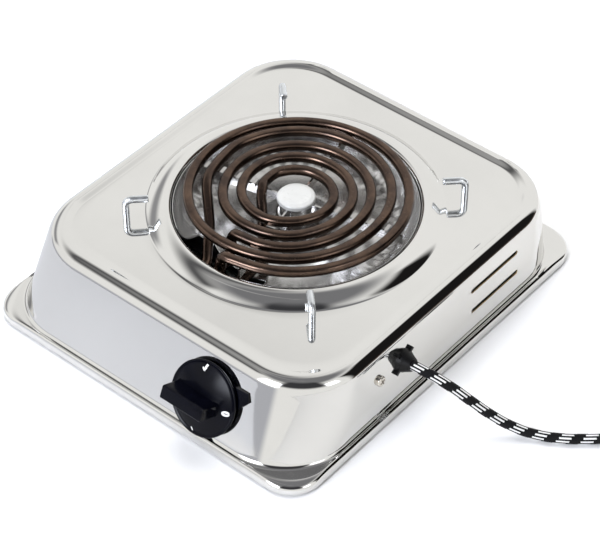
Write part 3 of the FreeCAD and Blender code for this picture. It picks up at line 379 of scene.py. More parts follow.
def braid():
    """Black textile braid with groups of white threads laid along it."""
    n = Nodes("cord_braid")
    split = n.add("ShaderNodeSeparateXYZ")
    n.feed(split, "Vector", n.add("ShaderNodeUVMap", uv_map="UVMap").outputs["UV"])
    along, around = split.outputs["X"], split.outputs["Y"]
    stagger = n.math("SUBTRACT", along, n.math("MULTIPLY", n.math("FLOOR", around), 1 / BRAID_ROWS))
    wobble = n.math("MULTIPLY", n.math("SUBTRACT", n.noise(260, 2, 0.5), 0.5), 0.1)
    phase = n.math("FRACT", n.math("ADD", stagger, wobble))
    off_middle = n.math("ABSOLUTE", n.math("SUBTRACT", n.math("FRACT", around), 0.5))
    dash = n.math("MULTIPLY", n.math("LESS_THAN", phase, 0.52), n.math("LESS_THAN", off_middle, 0.25))
    laid = n.math("MULTIPLY", along, THREADS_PER_CELL)
    right_hand, left_hand = (n.math("SINE", n.math("MULTIPLY", n.math(way, laid, around), 2 * math.pi))
                             for way in ("ADD", "SUBTRACT"))
    weave = n.math("MAXIMUM", right_hand, left_hand)
    fibre = n.noise(1500, 3, 0.7)
    black = n.mix(n.spread(weave, -0.2, 1.0), (0.0015, 0.0015, 0.002), (0.008, 0.008, 0.009))
    white = n.mix(n.spread(fibre, 0.3, 0.75), (0.86, 0.86, 0.85), (0.66, 0.66, 0.66))
    n.put(Base_Color=n.mix(dash, black, white), Roughness=n.spread(fibre, 0.3, 0.8, 0.6, 0.85))
    n.put(Specular_IOR_Level=0.15, Sheen_Weight=0.02, Sheen_Roughness=0.5)
    raised = n.math("ADD", n.math("MULTIPLY", dash, 0.6), n.math("MULTIPLY", fibre, 0.4))
    n.bump(n.math("ADD", n.math("MULTIPLY", weave, 0.5), raised), 0.55, 0.0005)
    return n.material


MATERIALS = {
    "chrome": chrome("chrome_shell", (0.76, 0.755, 0.74), 0.035, 0.012),
    "plated": plated("plated_wire", (0.80, 0.83, 0.86), 0.3),
    "bowl": bowl_metal(),
    "element": element_metal(),
    "gloss": black_gloss("black_gloss_moulding", (0.0012, 0.0014, 0.0035), 0.13),
    "relief": rubber("relief_rubber", (0.0015, 0.0015, 0.0018), 0.42),
    "rubber": rubber("black_rubber", (0.012, 0.012, 0.012), 0.7),
    "steel": plain("galvanised_steel", (0.52, 0.53, 0.54), 0.34, 1.0, 160),
    "spider": plated("spider_strip", (0.55, 0.54, 0.53), 0.22),
    "screw": plated("zinc_screws", (0.6, 0.6, 0.58), 0.3),
    "nickel": plated("nickel_screw", (0.70, 0.66, 0.60), 0.2),
    # golden-brown colour on the slots' cut edges and the inner side behind them: a painted reflection that
    # fills the vent slots
    "slot_painted_reflection": plain("slot_painted_reflection", (0.82, 0.62, 0.36), 0.4, 0.5),
    "brass": plain("terminal_brass", (0.62, 0.45, 0.20), 0.3, 1.0),
    "marks": plain("white_marks", (0.88, 0.88, 0.87), 0.5),
    "cap": plain("cap_enamel", (0.60, 0.60, 0.585), 0.3),
    "bakelite": plain("brown_bakelite", (0.07, 0.035, 0.02), 0.35),
    "porcelain": plain("porcelain", (0.82, 0.8, 0.74), 0.2),
    "lead": plain("lead_sleeve", (0.7, 0.66, 0.58), 0.8, 0.0, 900, 0.3),
    "braid": braid(),
}

CAD_MATERIALS = {
    "base_plate": "steel", "base_brackets": "steel", "base_screws": "screw", "foot_screws": "screw",
    "centre_stud": "screw", "centre_nut": "screw", "centre_spacer": "steel", "spider_washer": "steel",
    "coil_spider": "spider", "coil_clips": "spider", "coil_pins": "brass", "index_ring": "gloss",
    "knob_spring_clip": "screw", "earth_tag": "brass", "side_nut": "screw", "switch_screws": "screw",
    "switch_body": "bakelite", "switch_cover": "steel", "switch_rotor": "bakelite", "switch_shaft": "steel",
    "switch_terminals": "brass", "terminal_block": "porcelain", "terminal_screws": "brass",
    "pot_rest_nuts": "screw", "plug_pins": "nickel", "side_screw": "nickel",
    "foot_front_left": "rubber", "foot_front_right": "rubber", "foot_back_left": "rubber",
    "foot_back_right": "rubber", "lead_earth": "lead", "lead_high": "lead", "lead_live": "lead",
    "lead_low": "lead", "lead_neutral": "lead", "cord_tie": "rubber", "plug_body": "rubber",
    "centre_cap": "cap", "knob_marks": "marks", "knob": "gloss", "top_housing": "chrome",
    "reflector_dish": "bowl", "inner_coil": "element", "outer_coil": "element", "cord_grommet": "relief",
    "supply_cord": "braid", "cord_coil": "braid", "cord_tail": "braid",
    "pot_rest_back_left": "plated", "pot_rest_back_right": "plated", "pot_rest_front_left": "plated",
    "pot_rest_front_right": "plated",
}


def paint(obj, key):
    obj.data.materials.clear()
    obj.data.materials.append(MATERIALS[key])


for node_name, node in frame["nodes"].items():
    paint(node, CAD_MATERIALS[node_name])


def finish_piece(obj, key, slot, body, *nodes):
    """Paint a piece, hang it on its body and say which nodes it replaces."""
    paint(obj, key)
    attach(obj, body)
    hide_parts(*nodes)
    return obj


# ---------------------------------------------------------------------------
# Housing
# ---------------------------------------------------------------------------

# levels: the border of the top, the sunken panel in it, and the lip where the wall starts
TOP = 62.6
PANEL = 61.2
FOOT = 8.5
# half width, front and back of the wall at its foot and at the top, before rounding
WALL_FOOT = (132.0, 151.5, 149.8)
WALL_TOP = (127.7, 126.27, 145.5)
PANEL_EDGE = (113.0, 113.2, 131.0)
CROWN = 9.5
FILLET = 2.3
# half width and half depth of the lip
LIP_X = 136.0
LIP_Y = 155.0
LIP_ROLL = 2.6
LIP_CORNER = 23.0
WALL_CORNER = 49.5
PANEL_CORNER = 36.0
PANEL_SLOPE = 6.2
GAUGE = 0.9
CORNER_STEPS = 22
SIDE_STEPS = (40, 34, 40, 34)

# the raised ring round the burner: its crease on the panel, its shoulder, its crest and its hole
RING_CREASE = 103.0
RING_FOOT = 101.0
RING_SHOULDER = 87.2
RING_CREST = 67.2
RING_RISE = 5.4
WELL = 84.4

SLOT_MIDDLE = 59.2
SLOT_LENGTH = 52.0
SLOT_HEIGHT = 3.6
SLOT_LEVELS = (27.0, 44.0)


def quarter(steps):
    """Angles of a quarter turn."""
    return [math.radians(90.0 * step / steps) for step in range(steps + 1)]


def between(first, last, steps):
    """The loops that lie between two others."""
    return [[a.lerp(b, step / steps) for a, b in zip(first, last)] for step in range(1, steps)]


def outline(half_x, front, back, radius, z):
    """One level loop of the housing, anticlockwise from its front right corner."""
    centres = ((half_x - radius, radius - front), (half_x - radius, back - radius),
               (radius - half_x, back - radius), (radius - half_x, radius - front))
    starts = (-90, 0, 90, 180)

    def corner_point(index, degrees):
        turn = math.radians(degrees)
        x, y = centres[index]
        return spot(x + radius * math.cos(turn), y + radius * math.sin(turn), z)

    loop = []
    for index, start in enumerate(starts):
        loop += [corner_point(index, start + 90.0 * step / CORNER_STEPS) for step in range(CORNER_STEPS + 1)]
        following = (index + 1) % 4
        last, first = loop[-1], corner_point(following, starts[following])
        loop += [last.lerp(first, step / SIDE_STEPS[index]) for step in range(1, SIDE_STEPS[index])]
    return loop


def wall_at(z):
    """Half width, front and back of the leaning wall."""
    share = (z - FOOT) / (TOP - FOOT)
    return [foot + (top - foot) * share for foot, top in zip(WALL_FOOT, WALL_TOP)]


def crown_at(z):
    """Half width, front and back of the rounded top edge."""
    out = []
    for foot, top, straight in zip(WALL_FOOT, WALL_TOP, wall_at(z)):
        lean = math.atan2(foot - top, TOP - FOOT)
        centre = top - CROWN * math.tan((math.pi / 2 - lean) / 2)
        height = z - (TOP - CROWN)
        if height <= CROWN * math.sin(lean):
            out.append(straight)
        else:
            out.append(centre + math.sqrt(max(0.0, CROWN ** 2 - height ** 2)))
    return out


def lip_loops():
    """The rolled lip, from its lower edge to its level top."""
    loops = [outline(LIP_X, LIP_Y, LIP_Y, LIP_CORNER, z) for z in (1.2, 2.2, 3.2, 4.2)]
    for turn in quarter(7):
        inset = LIP_ROLL * (1 - math.cos(turn))
        corner = LIP_CORNER + 4.5 * inset
        z = FOOT - 3.5 * (1 - math.sin(turn))
        loops.append(outline(LIP_X - inset, LIP_Y - inset, LIP_Y - inset, corner, z))
    return loops


def wall_loops():
    """The fillet at the wall's foot, then the wall."""
    levels = [(FOOT + FILLET * (1 - math.cos(turn)), FILLET * (1 - math.sin(turn))) for turn in quarter(7)]
    levels += [(z, 0.0) for z in np.linspace(FOOT + FILLET + 2, TOP - CROWN, 18)]
    loops = []
    for z, flare in levels:
        half_x, front, back = wall_at(z)
        loops.append(outline(half_x + flare, front + flare, back + flare, WALL_CORNER + flare, z))
    return loops


def crown_loops():
    loops = []
    edge = wall_at(TOP - CROWN)[0]
    for turn in quarter(18)[1:]:
        z = TOP - CROWN + CROWN * math.sin(turn)
        half_x, front, back = crown_at(z)
        loops.append(outline(half_x, front, back, WALL_CORNER - (edge - half_x), z))
    return loops


def panel_loops():
    """The soft step down to the sunken panel."""
    loops = []
    for step in range(9):
        share = step / 8
        ease = share * share * (3 - 2 * share)
        out = PANEL_SLOPE * (1 - share)
        half_x, front, back = (edge + out for edge in PANEL_EDGE)
        loops.append(outline(half_x, front, back, PANEL_CORNER + out, TOP - 0.02 - (TOP - PANEL) * ease))
    return loops


def ring_loops(panel_edge):
    """The raised ring, whose points face those of the panel's edge."""
    axis = spot(BURNER_X, BURNER_Y, PANEL)
    angles = [math.degrees(math.atan2(point.y - axis.y, point.x - axis.x)) for point in panel_edge]
    profile = [(RING_CREASE, PANEL), (102.2, PANEL + 0.05), (101.5, PANEL + 0.3)]
    for step in range(15):
        fall = 1 - step / 14
        radius = RING_SHOULDER + (RING_FOOT - RING_SHOULDER) * fall
        profile.append((radius, RING_CREST - RING_RISE * fall ** 1.9))
    inner = RING_SHOULDER - WELL
    for turn in quarter(7)[1:]:
        profile.append((RING_SHOULDER - inner * math.sin(turn), RING_CREST - inner * (1 - math.cos(turn))))
    profile += [(WELL, z) for z in (62.0, 59.0, 56.3)]
    return [[burner(radius, angle, z) for angle in angles] for radius, z in profile]


def housing_loops():
    lip, wall, panel = lip_loops(), wall_loops(), panel_loops()
    ring = ring_loops(panel[-1])
    lip_top = between(lip[-1], wall[0], 6)
    panel_floor = between(panel[-1], ring[0], 8)
    return lip + lip_top + wall + crown_loops() + panel + panel_floor + ring


def slot_cutter(name, z):
    """A bar with round ends that cuts one vent slot through the wall on the right."""
    bar = []
    radius = SLOT_HEIGHT / 2
    for x in (118.0, 142.0):
        loop = []
        for side, start in ((1, -90), (-1, 90)):
            middle = SLOT_MIDDLE + side * (SLOT_LENGTH / 2 - radius)
            for step in range(9):
                turn = math.radians(start + 180.0 * step / 8)
                loop.append(spot(x, middle + radius * math.cos(turn), z + radius * math.sin(turn)))
        bar.append(loop)
    return loft(name, bar, cap_first=True, cap_last=True)


def in_a_slot(polygon):
    """The cut edges of the slots and the bare inner side round them."""
    x, y, z = polygon.center / MM
    near = x > 120 and 30 < y - CENTRE_Y < 88 and 20 < z < 50
    return near and polygon.normal.x < 0.5


def housing_skin():
    housing = loft("housing_skin", housing_loops())
    thicken = housing.modifiers.new("gauge", "SOLIDIFY")
    thicken.thickness = GAUGE * MM
    thicken.offset = -1.0
    thicken.use_even_offset = False
    cutters = [slot_cutter("slot_cutter", level) for level in SLOT_LEVELS]
    for cutter in cutters:
        hole = housing.modifiers.new("slot", "BOOLEAN")
        hole.operation = "DIFFERENCE"
        hole.solver = "EXACT"
        hole.object = cutter
    bake_modifiers(housing)
    for cutter in cutters:
        bpy.data.objects.remove(cutter)
    housing.data.set_sharp_from_angle(angle=math.radians(50))
    finish_piece(housing, "chrome", "chrome_shell", BASE_BODY, "top_housing")
    # faces in the vent slots get the golden-brown painted reflection as their second material
    housing.data.materials.append(MATERIALS["slot_painted_reflection"])
    for polygon in housing.data.polygons:
        if in_a_slot(polygon):
            polygon.material_index = 1


housing_skin()

# ---------------------------------------------------------------------------
# Bowl
# ---------------------------------------------------------------------------

# radius and level from the rim to the boss
BOWL = [(83.4, 65.0), (83.0, 62.0), (81.8, 58.5), (79.8, 54.5), (76.5, 50.0), (72.5, 46.6), (68.5, 44.6),
        (64.0, 43.6), (58.0, 43.2), (50.0, 43.0), (42.0, 43.0), (35.0, 43.2), (29.0, 44.4), (25.0, 46.8),
        (21.0, 50.2), (17.5, 54.4), (14.6, 57.8), (13.0, 58.9), (10.0, 59.0), (3.0, 59.0)]


FLUTES = 50
PETALS = 8
FLUTE_HEIGHT = 0.17
PETAL_DEPTH = 0.3
BOWL_GAUGE = 0.6


def clamp(value):
    return min(max(value, 0), 1)


def bowl_lift(radius, degrees):
    """Height of the pressed flutes on the outer slope, less the creases near the boss."""
    flute = math.cos(math.radians(degrees * FLUTES))
    crease = 1 - abs(math.sin(math.radians(degrees * PETALS))) ** 0.5
    on_slope = clamp((radius - 58) / 10) * clamp((81 - radius) / 6)
    on_boss = clamp((28 - radius) / 4) * clamp((radius - 13.5) / 2)
    return on_slope * FLUTE_HEIGHT * flute - on_boss * PETAL_DEPTH * crease


def at_the_ends(face):
    """The dish is open on the knob side, where the ends of the elements go down."""
    centre = face.calc_center_median() / MM
    x = centre.x - BURNER_X
    y = centre.y - CENTRE_Y - BURNER_Y
    return -44 < x < 20 and y < -50 and centre.z > 43.2


def bowl_skin():
    loops = []
    angles = [360.0 * i / 432 for i in range(432)]
    for point in smooth_line([(radius, z, 0) for radius, z in BOWL], 6):
        loops.append([burner(point.x, angle, point.y + bowl_lift(point.x, angle)) for angle in angles])
    obj = loft("bowl_skin", loops)
    bm = bmesh.new()
    bm.from_mesh(obj.data)
    gone = [face for face in bm.faces if at_the_ends(face)]
    bmesh.ops.delete(bm, geom=gone, context="FACES")
    bm.to_mesh(obj.data)
    bm.free()
    gauge = obj.modifiers.new("gauge", "SOLIDIFY")
    gauge.thickness = BOWL_GAUGE * MM
    gauge.offset = 0
    bake_modifiers(obj)
    return obj


finish_piece(bowl_skin(), "bowl", "bright_bowl", BASE_BODY, "reflector_dish")

# ---------------------------------------------------------------------------
# Heating elements
# ---------------------------------------------------------------------------

# levels of the windings and of the ends under them
COIL = 71.8
LOW = 50.5


def element_section():
    """A tube with its top pressed flat."""
    points = []
    for i in range(24):
        turn = 2 * math.pi * i / 24
        x = 3.6 * math.cos(turn)
        y = 3.45 * math.sin(turn)
        if y > 0:
            y = 3.3 * (1 - (1 - min(y / 3.45, 1.0)) ** 1.7)
            x *= 1.0 - 0.06 * (y / 3.3)
        points.append((x * MM, y * MM))
    return points


def wound(name, node, before, laps, after):
    """before and after are (x, y, z) from the burner's axis; laps are (angle, radius)."""
    curve = smooth_line([(angle, radius, 0) for angle, radius in laps], 12)
    angles = [p.x for p in curve]
    radii = [p.y for p in curve]
    points = [spot(BURNER_X + x, BURNER_Y + y, z) for x, y, z in before]
    for angle in np.arange(laps[0][0], laps[-1][0] + 0.1, 15.0):
        points.append(burner(float(np.interp(angle, angles, radii)), float(angle), COIL))
    points += [spot(BURNER_X + x, BURNER_Y + y, z) for x, y, z in after]
    obj = sweep(name, smooth_line(points, 6), element_section(), level=True)
    return finish_piece(obj, "element", "element_sheath", BASE_BODY, node)


wound("outer_element", "outer_coil",
      [(2.5, -87, LOW), (2.3, -82, LOW + 1), (0.6, -78.3, LOW + 8), (0.2, -76.6, COIL - 5),
       (2.6, -76.4, COIL - 0.7)],
      [(-83, 76.4), (-60, 76.0), (-30, 75.4), (0, 75.0), (45, 76.2), (90, 77.0), (135, 76.6), (180, 75.4),
       (215, 73.2), (240, 71.0), (270, 67.0), (300, 64.2), (330, 62.4), (360, 61.4), (390, 63.4), (420, 65.6),
       (450, 66.4), (480, 67.0), (510, 66.4), (540, 65.0)],
      [(-60.0, -18.5, COIL), (-52.8, -31.0, COIL - 1.5), (-42.8, -41.0, COIL - 6.5),
       (-32.8, -51.0, COIL - 13), (-25.5, -61.5, LOW + 3), (-17.5, -72, LOW), (-14.5, -80, LOW),
       (-14.5, -87, LOW)])
wound("inner_element", "inner_coil",
      [(-6.0, -87, LOW), (-6.2, -72, LOW), (-7.6, -60, LOW + 5), (-8.4, -56.4, COIL - 6),
       (-6.6, -55.8, COIL - 0.8)],
      [(-92, 55.6), (-75, 54.4), (-60, 53.0), (-30, 50.2), (0, 49.3), (45, 50.6), (90, 51.4), (135, 51.6),
       (180, 51.0), (215, 49.6), (240, 48.0), (270, 44.3), (300, 41.6), (330, 38.7), (360, 37.9), (405, 38.2),
       (450, 38.6), (510, 39.7), (540, 39.0), (570, 37.5), (600, 34.5), (630, 31.4), (660, 27.6), (690, 26.0),
       (720, 25.7), (765, 25.2), (810, 25.0), (855, 25.8), (890, 26.2)],
      [(-24.9, -3.6, COIL), (-22.2, -9.0, COIL - 0.3), (-17.2, -16.0, COIL - 3), (-11.2, -22.0, COIL - 9),
       (-4.5, -29.5, LOW + 5), (3.0, -37.5, LOW + 0.5), (9.5, -46, LOW), (11, -60, LOW), (11, -87, LOW)])

# ---------------------------------------------------------------------------
# Pot rests
# ---------------------------------------------------------------------------

WIRE = 2.5
REST_RADIUS = 114.6
REST_BEND = 4.5
REST_REACH = 15.5


def pot_rest(corner, angle):
    """A wire that stands up from the panel and bends in over the burner."""
    low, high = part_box("pot_rest_" + corner)
    foot, head = low.z / MM, high.z / MM - WIRE
    path = [burner(REST_RADIUS, angle, z) for z in (foot, foot + 8, head - REST_BEND)]
    for turn in quarter(9)[1:]:
        radius = REST_RADIUS - REST_BEND * (1 - math.cos(turn))
        path.append(burner(radius, angle, head - REST_BEND * (1 - math.sin(turn))))
    path += [burner(REST_RADIUS - reach, angle, head) for reach in (7, REST_REACH - 0.7)]
    tip = [burner(REST_RADIUS - REST_REACH + back, angle, head) for back in (0.7, 0.2, 0)]
    wire = [(x * MM, y * MM) for x, y in circle(WIRE, 20)]
    arm = sweep("rest_arm", path, wire)
    end = sweep("rest_end", tip, wire, scale=lambda t: 1 - 0.25 * t * t)
    rest = join("pot_rest_wire_" + corner, [arm, end])
    rest.data.set_sharp_from_angle(angle=math.radians(60))
    finish_piece(rest, "plated", "plated_wire", BASE_BODY, "pot_rest_" + corner)


for index, corner in enumerate(("back_right", "back_left", "front_left", "front_right")):
    pot_rest(corner, 45 + 90 * index)

# ---------------------------------------------------------------------------
# Knob
# ---------------------------------------------------------------------------

KNOB_RIM = 26.0
# radius and height of the skirt, from its hollow back over the rim to the domed face
SKIRT = [(4.0, 1.6), (20.0, 1.6), (24.3, 1.6), (24.8, 1.8), (25.7, 3.3), (25.95, 4.0), (25.85, 4.45),
         (25.5, 4.75), (25.0, 4.8), (24.5, 4.65), (24.0, 4.3)]
# height, half length, half width and corner radius of the grip bar
GRIP = [(2.2, 18.6, 6.2, 2.6), (4.8, 18.2, 5.4, 2.2), (6.0, 17.8, 4.9, 1.8), (8.8, 17.5, 4.75, 1.5),
        (12.8, 17.4, 4.72, 1.3), (17.8, 17.3, 4.7, 1.2), (21.7, 17.2, 4.68, 1.1), (22.2, 17.1, 4.6, 1.0),
        (22.45, 16.85, 4.35, 0.8), (22.5, 16.5, 4.0, 0.6)]
GRIP_MIDDLE = (-3.1, -0.7)
GRIP_HOLLOW = 0.9
GRIP_CROWN = 0.35


def knob_face(radius):
    """Height of the domed face above the wall."""
    return 3.5 + 4.2 * (1 - (radius / KNOB_RIM) ** 2)


def knob_turned(radius, degrees, height):
    turn = math.radians(degrees)
    return knob_spot(radius * math.cos(turn), radius * math.sin(turn), height)


def grip_hollow(u, v, height):
    """How far the long upper side of the grip is hollowed."""
    if v <= 0:
        return 0.0
    return GRIP_HOLLOW * max(0.0, 1 - (u / 17.5) ** 2) * clamp((height - 2) / 4)


def grip_loop(height, half_u, half_v, corner):
    loop = []
    for side_u, side_v, start in ((1, 1, 0), (-1, 1, 90), (-1, -1, 180), (1, -1, 270)):
        for turn in quarter(8):
            u = side_u * (half_u - corner) + corner * math.cos(math.radians(start) + turn)
            v = side_v * (half_v - corner) + corner * math.sin(math.radians(start) + turn)
            crown = GRIP_CROWN * (1 - (u / half_u) ** 2) * max(0.0, height - 8) / 15
            loop.append(knob_spot(GRIP_MIDDLE[0] + u, GRIP_MIDDLE[1] + v - grip_hollow(u, v, height),
                                  height + crown))
    return loop


def knob_moulding():
    profile = SKIRT + [(radius, knob_face(radius)) for radius in np.linspace(23.6, 0.6, 20)]
    skirt = turned("knob_skirt", profile, knob_turned, 120)
    grip = loft("knob_grip", [grip_loop(*level) for level in GRIP], cap_last=True)
    knob = join("knob_moulding", [skirt, grip])
    finish_piece(knob, "gloss", "black_gloss", KNOB_BODY, "knob")
    knob.data.set_sharp_from_angle(angle=math.radians(40))


knob_moulding()


def face_line(points):
    """A smooth line through (u, v) points, laid on the knob's face."""
    if len(points) > 2:
        points = [(p.x, p.y) for p in smooth_line([(u, v, 0) for u, v in points], 5)]
    return [knob_spot(u, v, knob_face(math.hypot(u, v)) + 0.02) for u, v in points]


def stroke(points, width):
    """A raised filled line on the knob's face through (u, v) points."""
    path = face_line(points)
    section = [(width / 2 * x * MM, 0.16 * y * MM) for x, y in circle(1.0, 12)]
    loops = []
    for index, point in enumerate(path):
        side = heading_at(path, index).cross(KNOB_OUT).normalized()
        loops.append([point + side * a + KNOB_OUT * b for a, b in section])
    return loft("stroke", loops, cap_first=True, cap_last=True)


def nought():
    """An oval that leans like the one on the dial."""
    points = []
    for x, y in circle(1.0, 12) + [(1.0, 0.0)]:
        along, across = 2.3 * x, 1.05 * y
        points.append((19.9 + along * 0.96 - across * 0.28, -0.3 + along * 0.28 + across * 0.96))
    return points


marks = [stroke(nought(), 1.45),
         stroke([(-3.3, 23.2), (-4.3, 18.6)], 1.8),
         stroke([(-4.3, 18.6), (-6.1, 20.2)], 1.4),
         stroke([(-2.2, -21.8), (-0.7, -23.9)], 0.8),
         stroke([(-22.0, 0.0), (-23.6, 0.0)], 0.8)]
finish_piece(join("knob_numbers", marks), "marks", "white_marks", KNOB_BODY, "knob_marks")

# ---------------------------------------------------------------------------
# Cord
# ---------------------------------------------------------------------------

CORD = 6.8
LIE = CORD / 2 + 0.05
SIDE_LEAN = math.atan2(WALL_FOOT[0] - WALL_TOP[0], TOP - FOOT)
OUT = Vector((math.cos(SIDE_LEAN), 0, math.sin(SIDE_LEAN)))
RELIEF_Y = -40.5
RELIEF_Z = 38.4
RELIEF_OUTSIDE = 8.5
ROOT = spot(WALL_FOOT[0] - (RELIEF_Z - FOOT) * math.tan(SIDE_LEAN), RELIEF_Y, RELIEF_Z)
EXIT = ROOT + OUT * RELIEF_OUTSIDE * MM

# the put-away turns: three side by side, then three on top of them
COIL_X = 318.0
COIL_Y = 52.0
COIL_MEAN = 33.0
COIL_BASE = 0.9
LOWER = COIL_BASE + CORD * 0.503
UPPER = COIL_BASE + CORD * 1.497
INWARD = [(COIL_MEAN + CORD * k, LOWER) for k in (1, 0, -1)]
OUTWARD = [(COIL_MEAN + CORD * k, UPPER) for k in (-1, 0, 1)]
LAPS = INWARD + OUTWARD
PER_LAP = 16
STEP_ACROSS = 4

# the tail, which leaves the turns and rises to the plug
TAIL_BEARING = math.radians(150)
TAIL_HEADING = Vector((0.5, 0.8660254, 0))
TAIL_LENGTH = 46.0
TAIL_RISE = 15.3
PLUG_LEVEL = 19.05

BRAID_CELL = 15.5
CORD_SIDES = 27


def coil_spot(radius, turn, z):
    return spot(COIL_X + radius * math.cos(turn), COIL_Y + radius * math.sin(turn), z)


def loose_stretch():
    """From the strain relief down to the table and along it to the first turn."""
    points = [(166.5, -38.6, 37.5), (178.5, -33.0, 28.0), (189.5, -26.0, 17.0), (201.0, -19.0, 8.3),
              (214.0, -12.5, 4.0), (229.0, -4.5, LIE), (243.0, 6.5, LIE), (256.5, 19.0, LIE + 0.05),
              (268.5, 29.0, LIE + 0.2), (276.0, 40.5, LIE + 0.5),
              (COIL_X - COIL_MEAN - CORD, COIL_Y, COIL_BASE + CORD / 2)]
    return [EXIT, EXIT + OUT * 13 * MM] + [spot(*point) for point in points]


def put_away_turns():
    """Each lap keeps its radius and level, then crosses to the next in its last quarter."""
    points = []
    for index in range(2, len(LAPS) * PER_LAP):
        lap, part = divmod(index, PER_LAP)
        radius, level = LAPS[lap]
        next_radius, next_level = LAPS[min(lap + 1, len(LAPS) - 1)]
        share = max(0.0, (part - PER_LAP + STEP_ACROSS) / STEP_ACROSS)
        turn = math.radians(180 - 360.0 * index / PER_LAP)
        radius += (next_radius - radius) * share
        level += (next_level - level) * share
        points.append(coil_spot(radius, turn, level))
    return points


def tail():
    start = coil_spot(COIL_MEAN + CORD, TAIL_BEARING, UPPER)
    end = start + TAIL_HEADING * TAIL_LENGTH * MM
    end.z = PLUG_LEVEL * MM
    reach = TAIL_HEADING * TAIL_RISE * MM
    return [start, start + reach + Vector((0, 0, 1.5 * MM)), end - reach, end]


def curve_through(route):
    """Points along a smooth line that the route's points guide."""
    line = bpy.data.curves.new("cord_line", "CURVE")
    line.dimensions = "3D"
    spline = line.splines.new("NURBS")
    spline.points.add(len(route) - 1)
    for guide, point in zip(spline.points, route):
        guide.co = (*point, 1)
    spline.order_u = 3
    spline.use_endpoint_u = True
    spline.resolution_u = 8
    obj = add_object("cord_line", line)
    graph = bpy.context.evaluated_depsgraph_get()
    sampled = bpy.data.meshes.new_from_object(obj.evaluated_get(graph))
    points = [v.co.copy() for v in sampled.vertices]
    bpy.data.objects.remove(obj)
    return points


def cord_tube(path):
    """The braided tube, with a length and row map for its pattern."""
    section = [(x * MM, y * MM) for x, y in circle(CORD / 2, CORD_SIDES)]
    loops = []
    for point, (side, up, along) in zip(path, frames_along(path)):
        loops.append([point + side * a + up * b for a, b in section])
    obj = loft("cord", loops, cap_first=True, cap_last=True)
    lengths = [0.0]
    for a, b in zip(path, path[1:]):
        lengths.append(lengths[-1] + (b - a).length / MM)
    layer = obj.data.uv_layers.new(name="UVMap")
    for polygon in obj.data.polygons:
        columns = [obj.data.loops[i].vertex_index % CORD_SIDES for i in polygon.loop_indices]
        wraps = max(columns) - min(columns) > CORD_SIDES // 2
        for i, column in zip(polygon.loop_indices, columns):
            row = obj.data.loops[i].vertex_index // CORD_SIDES
            if wraps and column < CORD_SIDES // 2:
                column += CORD_SIDES
            layer.data[i].uv = (lengths[row] / BRAID_CELL, column * BRAID_ROWS / CORD_SIDES)
    return obj


cord_path = curve_through(loose_stretch() + put_away_turns() + tail())
cord = cord_tube(cord_path)
finish_piece(cord, "braid", "cord_braid", BASE_BODY, "supply_cord", "cord_coil", "cord_tail")

# ---------------------------------------------------------------------------
# Stage
# ---------------------------------------------------------------------------

FLOOR_RADIUS = 1.6
PAPER = (0.88, 0.88, 0.885)
FAR_PAPER = (0.5, 0.51, 0.54)
WARM_CARD = (0.70, 0.69, 0.67)
COOL_CARD = (0.54, 0.545, 0.57)


def floor_paper():
    """Pale paper.  Reflections see it greyer far off, and as if grey cards lay beside the housing."""
    n = Nodes("floor_pale")
    distance = n.add("ShaderNodeVectorMath", operation="LENGTH")
    n.feed(distance, 0, n.where)
    place = n.add("ShaderNodeSeparateXYZ")
    n.feed(place, 0, n.where)
    x, y, z = place.outputs
    far = n.mix(n.spread(distance.outputs["Value"], 0.6, 1.5), PAPER, FAR_PAPER)
    card = n.mix(n.spread(x, 0.06, -0.05), WARM_CARD, COOL_CARD)
    before = n.spread(y, -0.15, -0.17)
    beside = n.spread(n.math("ABSOLUTE", x), 0.13, 0.15)
    mirrored = n.mix(n.math("MAXIMUM", before, beside), far, card)
    reflected = n.add("ShaderNodeLightPath").outputs["Is Glossy Ray"]
    n.put(Base_Color=n.mix(reflected, PAPER, mirrored), Roughness=0.9)
    return n.material


floor_mesh = bpy.data.meshes.new("floor")
floor_mesh.from_pydata([(x, y, 0) for x, y in circle(FLOOR_RADIUS, 64)], [], [tuple(range(64))])
floor_mesh.materials.append(floor_paper())
floor = add_object("floor", floor_mesh)

# Windows of the sky: bearing, half width, lowest and highest point and softness in degrees, and colour.
SKY = [
    (0, 181, 62, 95, 9, (0.22, 0.22, 0.23)),
    (42, 24, 1, 55, 5, (0.012, 0.011, 0.011)),
    (42, 24, -4, 3.5, 2, (0.07, 0.038, 0.022)),
    (178, 48, 49, 61, 8, (0.035, 0.035, 0.04)),
    (170, 20, 17, 31, 5, (0.34, 0.34, 0.35)),
    (-50, 36, 29, 75, 9, (0.05, 0.05, 0.055)),
    (-130, 46, -30, 7, 5, (0.52, 0.53, 0.57)),
    (-97, 12, 16, 46, 5, (13.0, 13.6, 15.0)),
    (-6, 9, 26, 46, 3, (3.2, 3.25, 3.4)),
]
OPEN_SKY = (1.0, 0.995, 0.975)


